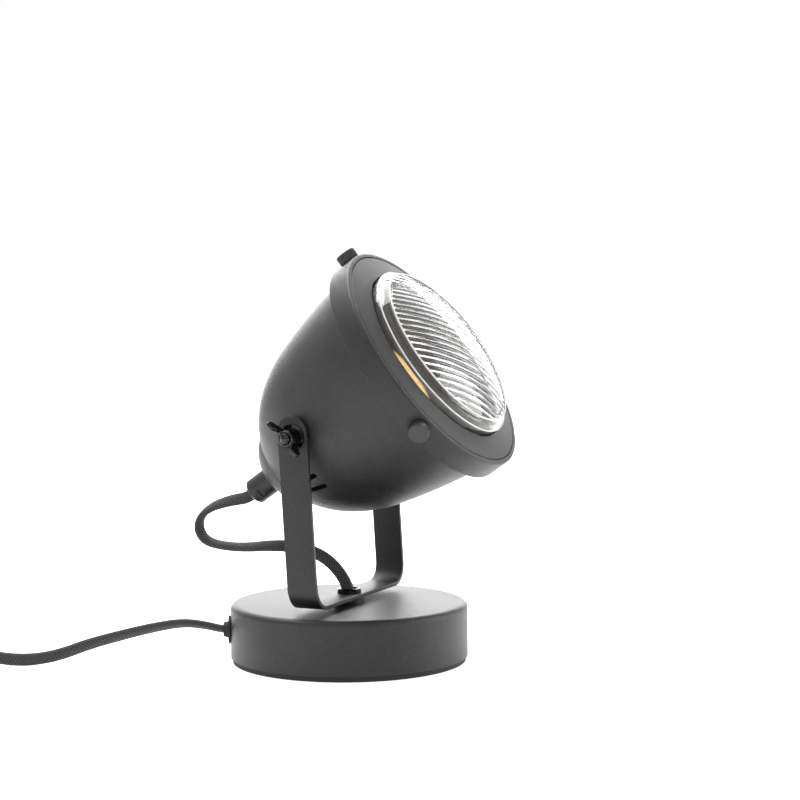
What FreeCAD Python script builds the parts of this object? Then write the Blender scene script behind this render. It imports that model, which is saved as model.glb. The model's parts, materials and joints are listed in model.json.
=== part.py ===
import FreeCAD, Part
import math
import os
import Sketcher

# A tabletop searchlight lamp in millimetres. +Z is up, the lamp looks towards -Y,
# and the origin is the centre of the base's underside.

Vector = FreeCAD.Vector
Rotation = FreeCAD.Rotation
Placement = FreeCAD.Placement

# Driving dimensions: each name is a cell of the sheet
SIZES = {
    # Base, a turned sheet cup over an iron ring
    "base_radius": 62.5,
    "base_height": 30.6,
    "base_wall": 1.5,
    "base_edge_round": 3.0,
    "pad_inset": 1.1,
    "pad_thick": 2.6,
    "plate_thick": 1.5,
    "plate_gap": 0.25,
    "weight_bore_radius": 26.0,
    "weight_radius": 53.5,
    "weight_thick": 8.9,
    "pillar_circle": 46.0,
    "pillar_radius": 3.5,
    "pillar_first_angle": 30.0,
    "plate_screw_radius": 2.0,
    "plate_screw_length": 12.0,
    "plate_screw_head_radius": 3.6,
    "plate_screw_head": 1.8,
    "pad_hole_radius": 4.5,
    # Cord outlet in the base's wall and the clamp inside
    "outlet_angle": 117.5,
    "outlet_height": 16.7,
    "grommet_radius": 5.0,
    "grommet_flange_radius": 7.3,
    "grommet_flange": 1.2,
    "grommet_nose": 2.6,
    "grommet_nose_radius": 4.4,
    "grommet_bore_radius": 3.1,
    "clamp_distance": 43.0,
    "clamp_length": 9.0,
    "clamp_width": 19.0,
    "clamp_top": 21.6,
    "clamp_screw_spread": 6.2,
    "clamp_screw_radius": 1.5,
    # Tube, nuts and bracket foot in the middle
    "tube_radius": 5.0,
    "tube_bore_radius": 4.0,
    "tube_bottom": 21.4,
    "tube_top": 37.3,
    "washer_radius": 9.5,
    "washer_thick": 1.2,
    "tube_nut_flats": 14.0,
    "tube_nut_thick": 4.0,
    "spacer_radius": 8.0,
    "spacer_thick": 2.6,
    "ring_nut_radius": 6.3,
    "ring_nut_thick": 2.4,
    # Bracket, one strap bent into a U that leans back
    "strap_width": 16.2,
    "strap_thick": 2.0,
    "strap_bend": 10.0,
    "strap_clear": 1.6,
    "hinge_height": 120.6,
    "lean_start": 38.0,
    "lean_angle": 3.5,
    "strap_top": 11.0,
    # Hinge hardware
    "bolt_radius": 2.5,
    "bolt_proud": 1.8,
    "bolt_head_flats": 8.0,
    "bolt_head": 3.5,
    "hinge_washer_radius": 6.85,
    "hinge_washer": 1.0,
    "inner_washer_radius": 5.0,
    "inner_washer": 1.86,
    "wing_base_radius": 5.0,
    "wing_neck_radius": 4.0,
    "wing_height": 6.5,
    "wing_reach": 11.5,
    "wing_tip": 11.0,
    "wing_thick": 2.0,
    # Head: the bowl's outside in steps along the beam, with its slope at each
    "beam_tilt": 34.8,
    "axis_rise": 1.1,
    "bowl_wall": 1.0,
    "bowl_rear": -33.5,
    "bowl_rear_radius": 24.5,
    "bowl_rear_slope": 54.6,
    "bowl_mid": -15.0,
    "bowl_mid_radius": 41.9,
    "bowl_mid_slope": 32.0,
    "bowl_hinge": 5.0,
    "bowl_hinge_radius": 50.7,
    "bowl_hinge_slope": 15.5,
    "bowl_front": 54.0,
    "bowl_front_radius": 60.4,
    "bowl_front_slope": 6.9,
    "rim_start": 57.0,
    "rim_end": 63.3,
    "rim_radius": 63.9,
    "boss_radius": 6.5,
    "boss_depth": 6.0,
    "vent_width": 2.9,
    "vent_start": -18.0,
    "vent_end": -6.5,
    "vent_first_angle": 97.2,
    "vent_step": 9.6,
    "vent_count": 4,
    # Rear cap, cord grip and nipple
    "cap_front_radius": 24.0,
    "cap_rear": -44.3,
    "cap_corner": 0.6,
    "cap_rear_radius": 14.4,
    "cap_bulge": 25.0,
    "cap_wall": 1.0,
    "grip_radius": 7.15,
    "grip_length": 17.7,
    "grip_bevel": 1.5,
    "grip_screw_radius": 2.6,
    "grip_screw_place": -56.2,
    "grip_screw_angle": -125.0,
    "insert_radius": 3.9,
    "insert_length": 9.3,
    "insert_proud": 1.5,
    "insert_bore_radius": 2.75,
    "nipple_bore_radius": 3.2,
    "nipple_rear": -49.2,
    "nipple_front": -27.4,
    "rear_nut_flats": 14.0,
    "rear_nut_thick": 3.2,
    # Lamp holder and bulb
    "holder_strip": 1.2,
    "holder_strip_width": 11.0,
    "holder_half_width": 15.0,
    "holder_lip": 9.0,
    "holder_rear": -24.0,
    "holder_length": 14.0,
    "holder_radius": 13.5,
    "holder_screw_spread": 9.5,
    "holder_screw_radius": 1.5,
    "bulb_front": 38.0,
    "bulb_radius": 25.0,
    "bulb_length": 48.0,
    "bulb_rim": 2.2,
    "bulb_base_radius": 8.0,
    "bulb_base_length": 12.0,
    "bulb_pin_spread": 5.0,
    "bulb_pin_radius": 2.3,
    "bulb_pin_length": 6.0,
    # Bezel, lens, gasket and retainer
    "bezel_back": 54.5,
    "bezel_fit": 0.5,
    "bezel_sheet": 1.2,
    "bezel_corner": 67.2,
    "bezel_corner_inset": 2.1,
    "bezel_round": 2.9,
    "bezel_groove": 0.8,
    "bezel_groove_depth": 0.35,
    "bezel_front": 69.2,
    "lens_fit": 0.35,
    "lens_flange_radius": 52.0,
    "lens_back": 64.8,
    "lens_flange": 2.4,
    "lens_radius": 49.4,
    "lens_edge": 72.9,
    "lens_dome_start": 76.6,
    "lens_dome_radius": 45.0,
    "lens_dome_ball": 106.0,
    "lens_glass": 3.0,
    "gasket_thick": 0.55,
    "gasket_width": 1.7,
    "retainer_thick": 1.2,
    "retainer_inner_radius": 48.5,
    "retainer_fit": 0.4,
    # Thumbscrews around the rim
    "thumb_place": 60.5,
    "thumb_first_angle": -9.0,
    "thumb_spread": 113.8,
    "thumb_radius": 5.25,
    "thumb_height": 5.2,
    "thumb_edge": 0.5,
    "thumb_shank_radius": 1.5,
    "thumb_shank_end": 59.2,
    "rim_nut_flats": 5.5,
    "rim_nut_thick": 2.4,
    # Cord, switch and plug
    "cord_radius": 2.6,
    "switch_half_length": 30.0,
    "switch_half_width": 11.0,
    "switch_end_half_width": 6.0,
    "switch_waist": 20.0,
    "switch_height": 15.0,
    "switch_wall": 2.0,
    "switch_heading": 108.4,
    "rocker_half_length": 7.0,
    "rocker_half_width": 4.3,
    "rocker_clear": 0.6,
    "rocker_cheek": 1.6,
    "rocker_top": 2.5,
    "rocker_dip": 1.0,
    "rocker_pivot_height": 13.0,
    "rocker_pin_radius": 1.0,
    "rocker_angle": 7.0,
    "switch_screw_along": 17.64,
    "switch_screw_across": 4.95,
    "switch_screw_radius": 1.3,
    "plug_width": 35.3,
    "plug_thick": 13.7,
    "plug_body": 25.0,
    "plug_neck_half_width": 8.0,
    "plug_relief": 14.0,
    "plug_pin_radius": 2.0,
    "plug_pin_length": 19.0,
    "plug_pin_spread": 9.3,
    # The coil of spare lead
    "coil_outer": 48.0,
    "coil_pitch": 6.9,
    "coil_layer": 5.75,
    "coil_turns": 6.25,
    # Clearances
    "shim_gap": 0.02,
    "run_gap": 0.08,
    "seat_gap": 0.3,
    "hole_gap": 0.1,
}

doc = FreeCAD.newDocument("SearchlightLamp")
sheet = doc.addObject("Spreadsheet::Sheet", "Sizes")
for row, (name, number) in enumerate(SIZES.items(), start=1):
    sheet.set("A%d" % row, name)
    sheet.set("B%d" % row, str(number))
    sheet.setAlias("B%d" % row, name)
doc.recompute()


# A number together with the sheet formula that it comes from
class Size:
    def __init__(self, number, formula):
        self.number = float(number)
        self.formula = formula

    def __add__(self, other):
        other = size(other)
        return Size(self.number + other.number, "(%s + %s)" % (self.formula, other.formula))

    def __sub__(self, other):
        other = size(other)
        return Size(self.number - other.number, "(%s - %s)" % (self.formula, other.formula))

    def __mul__(self, other):
        other = size(other)
        return Size(self.number * other.number, "(%s * %s)" % (self.formula, other.formula))

    def __truediv__(self, other):
        other = size(other)
        return Size(self.number / other.number, "(%s / %s)" % (self.formula, other.formula))

    def __neg__(self):
        return Size(-self.number, "(0 - %s)" % self.formula)

    __radd__ = __add__
    __rmul__ = __mul__

    def __rsub__(self, other):
        return size(other) - self

    def __float__(self):
        return self.number


def size(value):
    if isinstance(value, Size):
        return value
    if isinstance(value, str):
        return Size(SIZES[value], "Sizes.%s" % value)
    return Size(value, "%.9g" % value if value >= 0 else "(0 - %.9g)" % -value)


def sine(angle):
    angle = size(angle)
    return Size(math.sin(math.radians(angle.number)), "sin(%s)" % angle.formula)


def cosine(angle):
    angle = size(angle)
    return Size(math.cos(math.radians(angle.number)), "cos(%s)" % angle.formula)


def root(value):
    value = size(value)
    return Size(math.sqrt(value.number), "sqrt(%s)" % value.formula)


# Sizes that several pieces share
quarter_turn = 90.0
# A drilled hole's cut starts this far inside the face and ends as far outside
drill_reach = 10.0
shell_under = size("base_height") - "base_wall"
plate_top = size("pad_thick") + "plate_thick"
weight_top = plate_top + "weight_thick"
foot_bottom = size("base_height") + "spacer_thick"
foot_top = foot_bottom + "strap_thick"
# the arms stand clear of the bowl's sides, with a boss and a washer in between
strap_inner_half = size("bowl_hinge_radius") + "strap_clear"
strap_outer_half = strap_inner_half + "strap_thick"
boss_face = strap_inner_half - size("shim_gap") * 2 - "inner_washer"
bolt_reach = strap_outer_half + "hinge_washer" + "wing_height" + "bolt_proud"
lean_sine = sine("lean_angle")
lean_cosine = cosine("lean_angle")
hinge_back = (size("hinge_height") - "lean_start") * lean_sine / lean_cosine
grip_end = size("cap_rear") - "grip_length"
insert_end = grip_end - "insert_proud"
rear_inside = size("bowl_rear") + "bowl_wall"
band_inside = size("rim_radius") + "bezel_fit"
bezel_radius = band_inside + "bezel_sheet"
swivel_hole = size("tube_radius") + "run_gap"
bolt_hole = size("bolt_radius") + "hole_gap"

head_point = Vector(
    0,
    hinge_back.number + SIZES["axis_rise"] * math.sin(math.radians(SIZES["beam_tilt"])),
    SIZES["hinge_height"] + SIZES["axis_rise"] * math.cos(math.radians(SIZES["beam_tilt"])),
)
head_turn = Rotation(Vector(1, 0, 0), 90 - SIZES["beam_tilt"])
head_place = Placement(head_point, head_turn)
hinge_point = Vector(0, hinge_back.number, SIZES["hinge_height"])

parts = []


# Adds a piece to the list that is checked and written
def keep(piece):
    parts.append(piece)
    return piece


def new_body(name):
    body = doc.addObject("PartDesign::Body", name)
    body.Label = name
    body.AllowCompound = True
    return keep(body)


def origin_feature(body, role):
    return [feature for feature in body.Origin.OriginFeatures if feature.Role == role][0]


def bind(target, prop, value):
    value = size(value)
    setattr(target, prop, value.number)
    target.setExpression(prop, value.formula)


# A sketch on one of the body's own planes, moved along the plane's normal by offset
def new_sketch(body, name, role, offset=None, attachment=None):
    sketch = body.newObject("Sketcher::SketchObject", name)
    sketch.AttachmentSupport = [(origin_feature(body, role), "")]
    sketch.MapMode = "FlatFace"
    if attachment is not None:
        sketch.AttachmentOffset = attachment
    if offset is not None:
        sketch.AttachmentOffset = Placement(Vector(0, 0, float(size(offset))), Rotation())
        sketch.setExpression("AttachmentOffset.Base.z", size(offset).formula)
    return sketch


def pin_point(sketch, geometry, end, x, y):
    for kind, value in (("DistanceX", size(x)), ("DistanceY", size(y))):
        rule = sketch.addConstraint(Sketcher.Constraint(kind, -1, 1, geometry, end, value.number))
        sketch.setExpression("Constraints[%d]" % rule, value.formula)


# Draws a closed outline. Each corner is (x, y) or (x, y, radius), where the radius makes
# the edge to the next corner an arc: positive bulges to the right of the way round.
def draw_outline(sketch, corners):
    edges = []
    for index, corner in enumerate(corners):
        following = corners[(index + 1) % len(corners)]
        start = Vector(float(size(corner[0])), float(size(corner[1])), 0)
        finish = Vector(float(size(following[0])), float(size(following[1])), 0)
        if len(corner) == 2:
            edges.append(Part.LineSegment(start, finish))
            continue
        radius = float(size(corner[2]))
        chord = finish - start
        side = Vector(chord.y, -chord.x, 0).normalize()
        if radius < 0:
            side = -side
        depth = abs(radius) - math.sqrt(max(radius ** 2 - (chord.Length / 2) ** 2, 0.0))
        middle = (start + finish) / 2 + side * depth
        edges.append(Part.Arc(start, middle, finish))
    first = sketch.GeometryCount
    sketch.addGeometry(edges, False)
    starts = []
    for index, corner in enumerate(corners):
        # an arc is kept counter-clockwise, so its first end may be the far one
        end_number = 1
        if len(corner) == 3 and float(size(corner[2])) < 0:
            end_number = 2
        starts.append(end_number)
    for index in range(len(corners)):
        following = (index + 1) % len(corners)
        joined = Sketcher.Constraint(
            "Coincident", first + index, 3 - starts[index], first + following, starts[following])
        sketch.addConstraint(joined)
    for index, corner in enumerate(corners):
        pin_point(sketch, first + index, starts[index], corner[0], corner[1])
        if len(corner) == 3:
            radius = size(corner[2])
            if radius.number < 0:
                radius = -radius
            rule = sketch.addConstraint(Sketcher.Constraint("Radius", first + index, radius.number))
            sketch.setExpression("Constraints[%d]" % rule, radius.formula)


def draw_circle(sketch, x, y, radius):
    x, y, radius = size(x), size(y), size(radius)
    circle = Part.Circle(Vector(x.number, y.number, 0), Vector(0, 0, 1), radius.number)
    index = sketch.addGeometry(circle, False)
    pin_point(sketch, index, 3, x, y)
    rule = sketch.addConstraint(Sketcher.Constraint("Radius", index, radius.number))
    sketch.setExpression("Constraints[%d]" % rule, radius.formula)


def draw_box(sketch, x_low, y_low, x_high, y_high):
    draw_outline(sketch, [(x_low, y_low), (x_high, y_low), (x_high, y_high), (x_low, y_high)])


# A piece turned about Z from an outline of (radius, height) corners
def turned(name, corners, body=None, role="XZ_Plane"):
    body = body or new_body(name)
    sketch = new_sketch(body, name + "_profile_%d" % len(body.Group), role)
    draw_outline(sketch, corners)
    feature = body.newObject("PartDesign::Revolution", name + "_turn_%d" % len(body.Group))
    feature.Profile = sketch
    feature.ReferenceAxis = (sketch, ["V_Axis"])
    feature.Angle = 360
    body.Tip = feature
    doc.recompute()
    return body


# Adds (or cuts) a prism: drawing is a function that fills the sketch
def prism(body, kind, role, drawing, length, offset=None, attachment=None, side="One side",
          reverse=False, tag="prism"):
    label = "%s_%s_%d" % (body.Label, tag, len(body.Group))
    sketch = new_sketch(body, label + "_sketch", role, offset, attachment)
    drawing(sketch)
    before = body.Shape.Volume if body.Tip else 0.0
    feature = body.newObject("PartDesign::" + kind, label)
    feature.Profile = sketch
    feature.SideType = side
    feature.Reversed = reverse
    bind(feature, "Length", length)
    body.Tip = feature
    doc.recompute()
    change = body.Shape.Volume - before
    if (kind == "Pocket") != (change < 0):
        raise ValueError("%s changes the volume by %.2f" % (label, change))
    return feature


def around(body, feature, count, angle=360):
    pattern = body.newObject("PartDesign::PolarPattern", feature.Name + "_round")
    pattern.Originals = [feature]
    pattern.Axis = (origin_feature(body, "Z_Axis"), [""])
    pattern.Angle = angle
    pattern.Occurrences = int(count)
    body.Tip = pattern
    doc.recompute()
    return pattern


def mirrored(body, features, role):
    pattern = body.newObject("PartDesign::Mirrored", features[0].Name + "_mirror")
    pattern.Originals = features
    pattern.MirrorPlane = (origin_feature(body, role), [""])
    body.Tip = pattern
    doc.recompute()
    return pattern


def ring(name, inner, outer, low, high):
    return turned(name, [(inner, low), (outer, low), (outer, high), (inner, high)])


# A hexagon across its flats, with a round hole
def draw_hexagon(sketch, flats, x=0.0, y=0.0):
    corner = size(flats) / (2 * cosine(30))
    corners = []
    for step in range(6):
        corners.append((size(x) + corner * cosine(60 * step), size(y) + corner * sine(60 * step)))
    draw_outline(sketch, corners)


def hex_nut(name, flats, hole, low, thick):
    body = new_body(name)

    def drawing(sketch):
        draw_hexagon(sketch, flats)
        draw_circle(sketch, 0, 0, hole)

    prism(body, "Pad", "XY_Plane", drawing, thick, offset=low)
    return body


# Base


def cross_plane(angle, distance):
    # a plane square to the radial direction at this angle, drawn with +Z as its second axis
    turn = Rotation(Vector(0, 1, 0), float(size(angle)) + quarter_turn)
    radians = math.radians(float(size(angle)))
    place = Vector(float(size(distance)) * math.cos(radians), 0,
                   -float(size(distance)) * math.sin(radians))
    return Placement(place, turn)


def make_base():
    edge = size("base_edge_round")
    inner_edge = edge - "base_wall"
    shell = turned("base_shell", [
        (swivel_hole, shell_under),
        (size("base_radius") - edge, shell_under, -inner_edge),
        (size("base_radius") - "base_wall", size("base_height") - edge),
        (size("base_radius") - "base_wall", "pad_thick"),
        ("base_radius", "pad_thick"),
        ("base_radius", size("base_height") - edge, edge),
        (size("base_radius") - edge, "base_height"),
        (swivel_hole, "base_height"),
    ])
    prism(shell, "Pocket", "XZ_Plane",
          lambda sketch: draw_circle(sketch, 0, "outlet_height", "grommet_radius"),
          drill_reach * 2, reverse=True,
          attachment=cross_plane("outlet_angle", size("base_radius") - drill_reach))

    pad_radius = size("base_radius") - "pad_inset"
    pad = turned("base_pad", [(0, 0), (pad_radius, 0), (pad_radius, "pad_thick"),
                              (0, "pad_thick")])
    hole = prism(pad, "Pocket", "XY_Plane",
                 lambda sketch: screw_circle(sketch, "pad_hole_radius"), "pad_thick", reverse=True)
    around(pad, hole, 3)

    plate_radius = size("base_radius") - "base_wall" - "plate_gap"
    plate = turned("bottom_plate", [(0, "pad_thick"), (plate_radius, "pad_thick"),
                                    (plate_radius, plate_top), (0, plate_top)])
    hole = prism(plate, "Pocket", "XY_Plane",
                 lambda sketch: screw_circle(sketch, size("plate_screw_radius") + "hole_gap"),
                 plate_top, reverse=True)
    around(plate, hole, 3)

    weight = ring("base_weight", "weight_bore_radius", "weight_radius", plate_top, weight_top)
    hole = prism(weight, "Pocket", "XY_Plane",
                 lambda sketch: screw_circle(sketch, size("pillar_radius") + "seat_gap"),
                 weight_top, reverse=True)
    around(weight, hole, 3)

    pillars = new_body("base_pillars")

    def pillar_section(sketch):
        screw_circle(sketch, "pillar_radius")
        screw_circle(sketch, size("plate_screw_radius") + "hole_gap")

    pillar = prism(pillars, "Pad", "XY_Plane", pillar_section, shell_under - plate_top,
                   offset=plate_top)
    around(pillars, pillar, 3)

    screws = new_body("plate_screws")
    head = prism(screws, "Pad", "XY_Plane",
                 lambda sketch: screw_circle(sketch, "plate_screw_head_radius"),
                 "plate_screw_head", offset=size("pad_thick") - "plate_screw_head")
    shank = prism(screws, "Pad", "XY_Plane",
                  lambda sketch: screw_circle(sketch, "plate_screw_radius"),
                  "plate_screw_length", offset="pad_thick")
    pattern = around(screws, head, 3)
    pattern.Originals = [head, shank]
    doc.recompute()


def screw_circle(sketch, radius):
    angle = size("pillar_first_angle")
    draw_circle(sketch, size("pillar_circle") * cosine(angle),
                size("pillar_circle") * sine(angle), radius)


def make_outlet():
    # turned about Z, then laid so that Z points out of the base
    wall_out = size("base_radius")
    inside = root(size("base_radius") * "base_radius"
                  - size("grommet_flange_radius") * "grommet_flange_radius") - "base_wall"
    body_radius = size("grommet_radius") - "hole_gap"
    grommet = turned("cord_grommet", [
        ("grommet_bore_radius", inside - "grommet_flange"),
        ("grommet_flange_radius", inside - "grommet_flange"),
        ("grommet_flange_radius", inside),
        (body_radius, inside),
        (body_radius, wall_out),
        ("grommet_flange_radius", wall_out),
        ("grommet_flange_radius", wall_out + "grommet_flange"),
        ("grommet_nose_radius", wall_out + "grommet_flange"),
        (size("grommet_bore_radius") + 0.6, wall_out + "grommet_flange" + "grommet_nose"),
        ("grommet_bore_radius", wall_out + "grommet_flange" + "grommet_nose"),
    ])
    outlet_turn = Rotation(Vector(0, 0, 1), SIZES["outlet_angle"]).multiply(
        Rotation(Vector(0, 1, 0), quarter_turn))
    grommet.Placement = Placement(Vector(0, 0, SIZES["outlet_height"]), outlet_turn)

    # the clamp block stands on the iron ring, its length along the outlet's direction
    clamp = new_body("cord_clamp")
    half_width = size("clamp_width") / 2
    half_length = size("clamp_length") / 2
    prism(clamp, "Pad", "XY_Plane",
          lambda sketch: draw_box(sketch, size("clamp_distance") - half_length, -half_width,
                                  size("clamp_distance") + half_length, half_width),
          size("clamp_top") - weight_top, offset=weight_top)
    prism(clamp, "Pocket", "YZ_Plane",
          lambda sketch: draw_circle(sketch, 0, "outlet_height", size("cord_radius") + "seat_gap"),
          size("clamp_distance") + half_length + 1, reverse=True)

    def clamp_holes(radius):
        def drawing(sketch):
            for side in (-1, 1):
                draw_circle(sketch, "clamp_distance", size("clamp_screw_spread") * side, radius)
        return drawing

    prism(clamp, "Pocket", "XY_Plane", clamp_holes(size("clamp_screw_radius") + "hole_gap"),
          "clamp_top", reverse=True)
    screws = new_body("clamp_screws")
    prism(screws, "Pad", "XY_Plane", clamp_holes("clamp_screw_radius"),
          size("clamp_top") - weight_top, offset=weight_top)
    prism(screws, "Pad", "XY_Plane", clamp_holes(size("clamp_screw_radius") * 1.8),
          "clamp_screw_radius", offset="clamp_top")
    for piece in (clamp, screws):
        piece.Placement = Placement(Vector(), Rotation(Vector(0, 0, 1), SIZES["outlet_angle"]))


def make_stack():
    ring("threaded_tube", "tube_bore_radius", "tube_radius", "tube_bottom", "tube_top")
    washer_low = shell_under - "washer_thick"
    ring("tube_washer", swivel_hole, "washer_radius", washer_low, shell_under)
    hex_nut("tube_nut", "tube_nut_flats", swivel_hole, washer_low - "tube_nut_thick",
            "tube_nut_thick")
    ring("swivel_spacer", swivel_hole, "spacer_radius", "base_height", foot_bottom)
    nut_top = foot_top + "ring_nut_thick"
    turned("ring_nut", [
        (swivel_hole, foot_top),
        ("ring_nut_radius", foot_top),
        ("ring_nut_radius", nut_top - 0.7),
        (size("ring_nut_radius") - 0.7, nut_top),
        (swivel_hole, nut_top),
    ])


def make_bracket():
    bracket = new_body("bracket")
    outer = strap_outer_half
    inner_bend = size("strap_bend")
    outer_bend = inner_bend + "strap_thick"
    # the strap's ends stand above the round ends that are cut later
    top = size("hinge_height") + "strap_top" + 5

    def strap_path(sketch):
        draw_outline(sketch, [
            (-outer, top),
            (-outer, foot_bottom + outer_bend, outer_bend),
            (outer_bend - outer, foot_bottom),
            (outer - outer_bend, foot_bottom, outer_bend),
            (outer, foot_bottom + outer_bend),
            (outer, top),
            (strap_inner_half, top),
            (strap_inner_half, foot_top + inner_bend, -inner_bend),
            (strap_inner_half - inner_bend, foot_top),
            (inner_bend - strap_inner_half, foot_top, -inner_bend),
            (-strap_inner_half, foot_top + inner_bend),
            (-strap_inner_half, top),
        ])

    prism(bracket, "Pad", "XZ_Plane", strap_path, size("strap_width") * 3, side="Symmetric")
    half = size("strap_width") / 2
    end_rise = size("hinge_height") + "strap_top" - half - "lean_start"
    far = size("strap_width") * 2
    low = foot_bottom - 5
    end_y = end_rise * lean_sine / lean_cosine
    end_z = end_rise + "lean_start"

    # what the side view leaves: straight up from the foot, then leaning back to a round end
    def waste(sketch):
        draw_outline(sketch, [
            (-far, low),
            (-half, low),
            (-half, size("lean_start") + half * lean_sine / lean_cosine * 0.5),
            (end_y - half * lean_cosine, end_z + half * lean_sine, -half),
            (end_y + half * lean_sine, end_z + half * lean_cosine, -half),
            (end_y + half * lean_cosine, end_z - half * lean_sine),
            (half, size("lean_start") - half * lean_sine / lean_cosine * 0.5),
            (half, low),
            (far, low),
            (far, top + 5),
            (-far, top + 5),
        ])

    prism(bracket, "Pocket", "YZ_Plane", waste, outer * 3, side="Symmetric")
    prism(bracket, "Pocket", "YZ_Plane",
          lambda sketch: draw_circle(sketch, hinge_back, "hinge_height", bolt_hole),
          outer * 3, side="Symmetric")
    prism(bracket, "Pocket", "XY_Plane", lambda sketch: draw_circle(sketch, 0, 0, swivel_hole),
          foot_top + 1, reverse=True)


# Head: pieces are drawn with the beam along Z, X across and Y up, then tilted


def bowl_point(step, wall):
    place = size("bowl_" + step)
    radius = size("bowl_%s_radius" % step)
    slope = size("bowl_%s_slope" % step)
    return (radius - size(wall) * cosine(slope), place + size(wall) * sine(slope))


def bowl_arc(first, second):
    run = size("bowl_" + second) - size("bowl_" + first)
    rise = size("bowl_%s_radius" % second) - size("bowl_%s_radius" % first)
    turn = (size("bowl_%s_slope" % first) - size("bowl_%s_slope" % second)) / 2
    return root(run * run + rise * rise) / (2 * sine(turn))


def make_head_shell():
    steps = ["rear", "mid", "hinge", "front"]
    wall = size("bowl_wall")
    nipple_hole = size("tube_radius") + "hole_gap"
    outline = [(nipple_hole, "bowl_rear")]
    for first, second in zip(steps, steps[1:]):
        x, y = bowl_point(first, 0)
        outline.append((x, y, bowl_arc(first, second)))
    outline.append(bowl_point("front", 0))
    rim_in = size("rim_radius") - wall
    outline += [("rim_radius", "rim_start"), ("rim_radius", "rim_end"), (rim_in, "rim_end"),
                (rim_in, size("rim_start") + wall * 0.5)]
    for first, second in reversed(list(zip(steps, steps[1:]))):
        x, y = bowl_point(second, wall)
        outline.append((x, y, -(bowl_arc(first, second) - wall)))
    # the first arc's inside ends where it meets the flat rear's inside
    x, y = bowl_point("rear", wall)
    outline.append((x, y))
    outline.append((x - wall, rear_inside))
    outline.append((nipple_hole, rear_inside))
    shell = turned("head_shell", outline)

    def land(radius):
        return lambda sketch: draw_circle(sketch, -size("axis_rise"), 0, radius)

    for sign in (1, -1):
        prism(shell, "Pad", "YZ_Plane", land("boss_radius"), "boss_depth",
              offset=boss_face * sign, reverse=sign > 0)
        prism(shell, "Pocket", "YZ_Plane", land("boss_radius"), "boss_depth",
              offset=boss_face * sign, reverse=sign > 0)
        prism(shell, "Pocket", "YZ_Plane", land(bolt_hole), boss_face * 0.5,
              offset=boss_face * sign, reverse=sign < 0)

    half = size("vent_width") / 2

    def vent(sketch):
        draw_outline(sketch, [
            (-half, "vent_start", half),
            (0, size("vent_start") - half, half),
            (half, "vent_start"),
            (half, "vent_end", half),
            (0, size("vent_end") + half, half),
            (-half, "vent_end"),
        ])

    for sign in (1, -1):
        angle = SIZES["vent_first_angle"] * sign
        slot = prism(shell, "Pocket", "XZ_Plane", vent, size("rim_radius") - "cap_front_radius",
                     attachment=beam_plane(angle, SIZES["cap_front_radius"]), reverse=True)
        around_part(shell, slot, "vent_count", SIZES["vent_step"] * (SIZES["vent_count"] - 1),
                    sign > 0)
    for angle in thumb_angles():
        prism(shell, "Pocket", "XZ_Plane",
              lambda sketch: draw_circle(sketch, 0, "thumb_place",
                                         size("thumb_shank_radius") + "hole_gap"),
              drill_reach * 2, reverse=True,
              attachment=beam_plane(angle, SIZES["rim_radius"] - drill_reach))
    return shell


# One thumbscrew on top of the rim and one on either side of it
def thumb_angles():
    first = SIZES["thumb_first_angle"]
    return [first, first + SIZES["thumb_spread"], first - SIZES["thumb_spread"]]


# A plane square to the direction at this angle about the beam, counted from Y towards X
def beam_plane(angle, distance):
    radians = math.radians(float(size(angle)))
    place = Vector(distance * math.sin(radians), 0, -distance * math.cos(radians))
    return Placement(place, Rotation(Vector(0, 1, 0), 180.0 - float(size(angle))))


def around_part(body, feature, count, angle, reverse):
    pattern = around(body, feature, SIZES[count], angle)
    pattern.Reversed = reverse
    doc.recompute()
    return pattern


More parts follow.
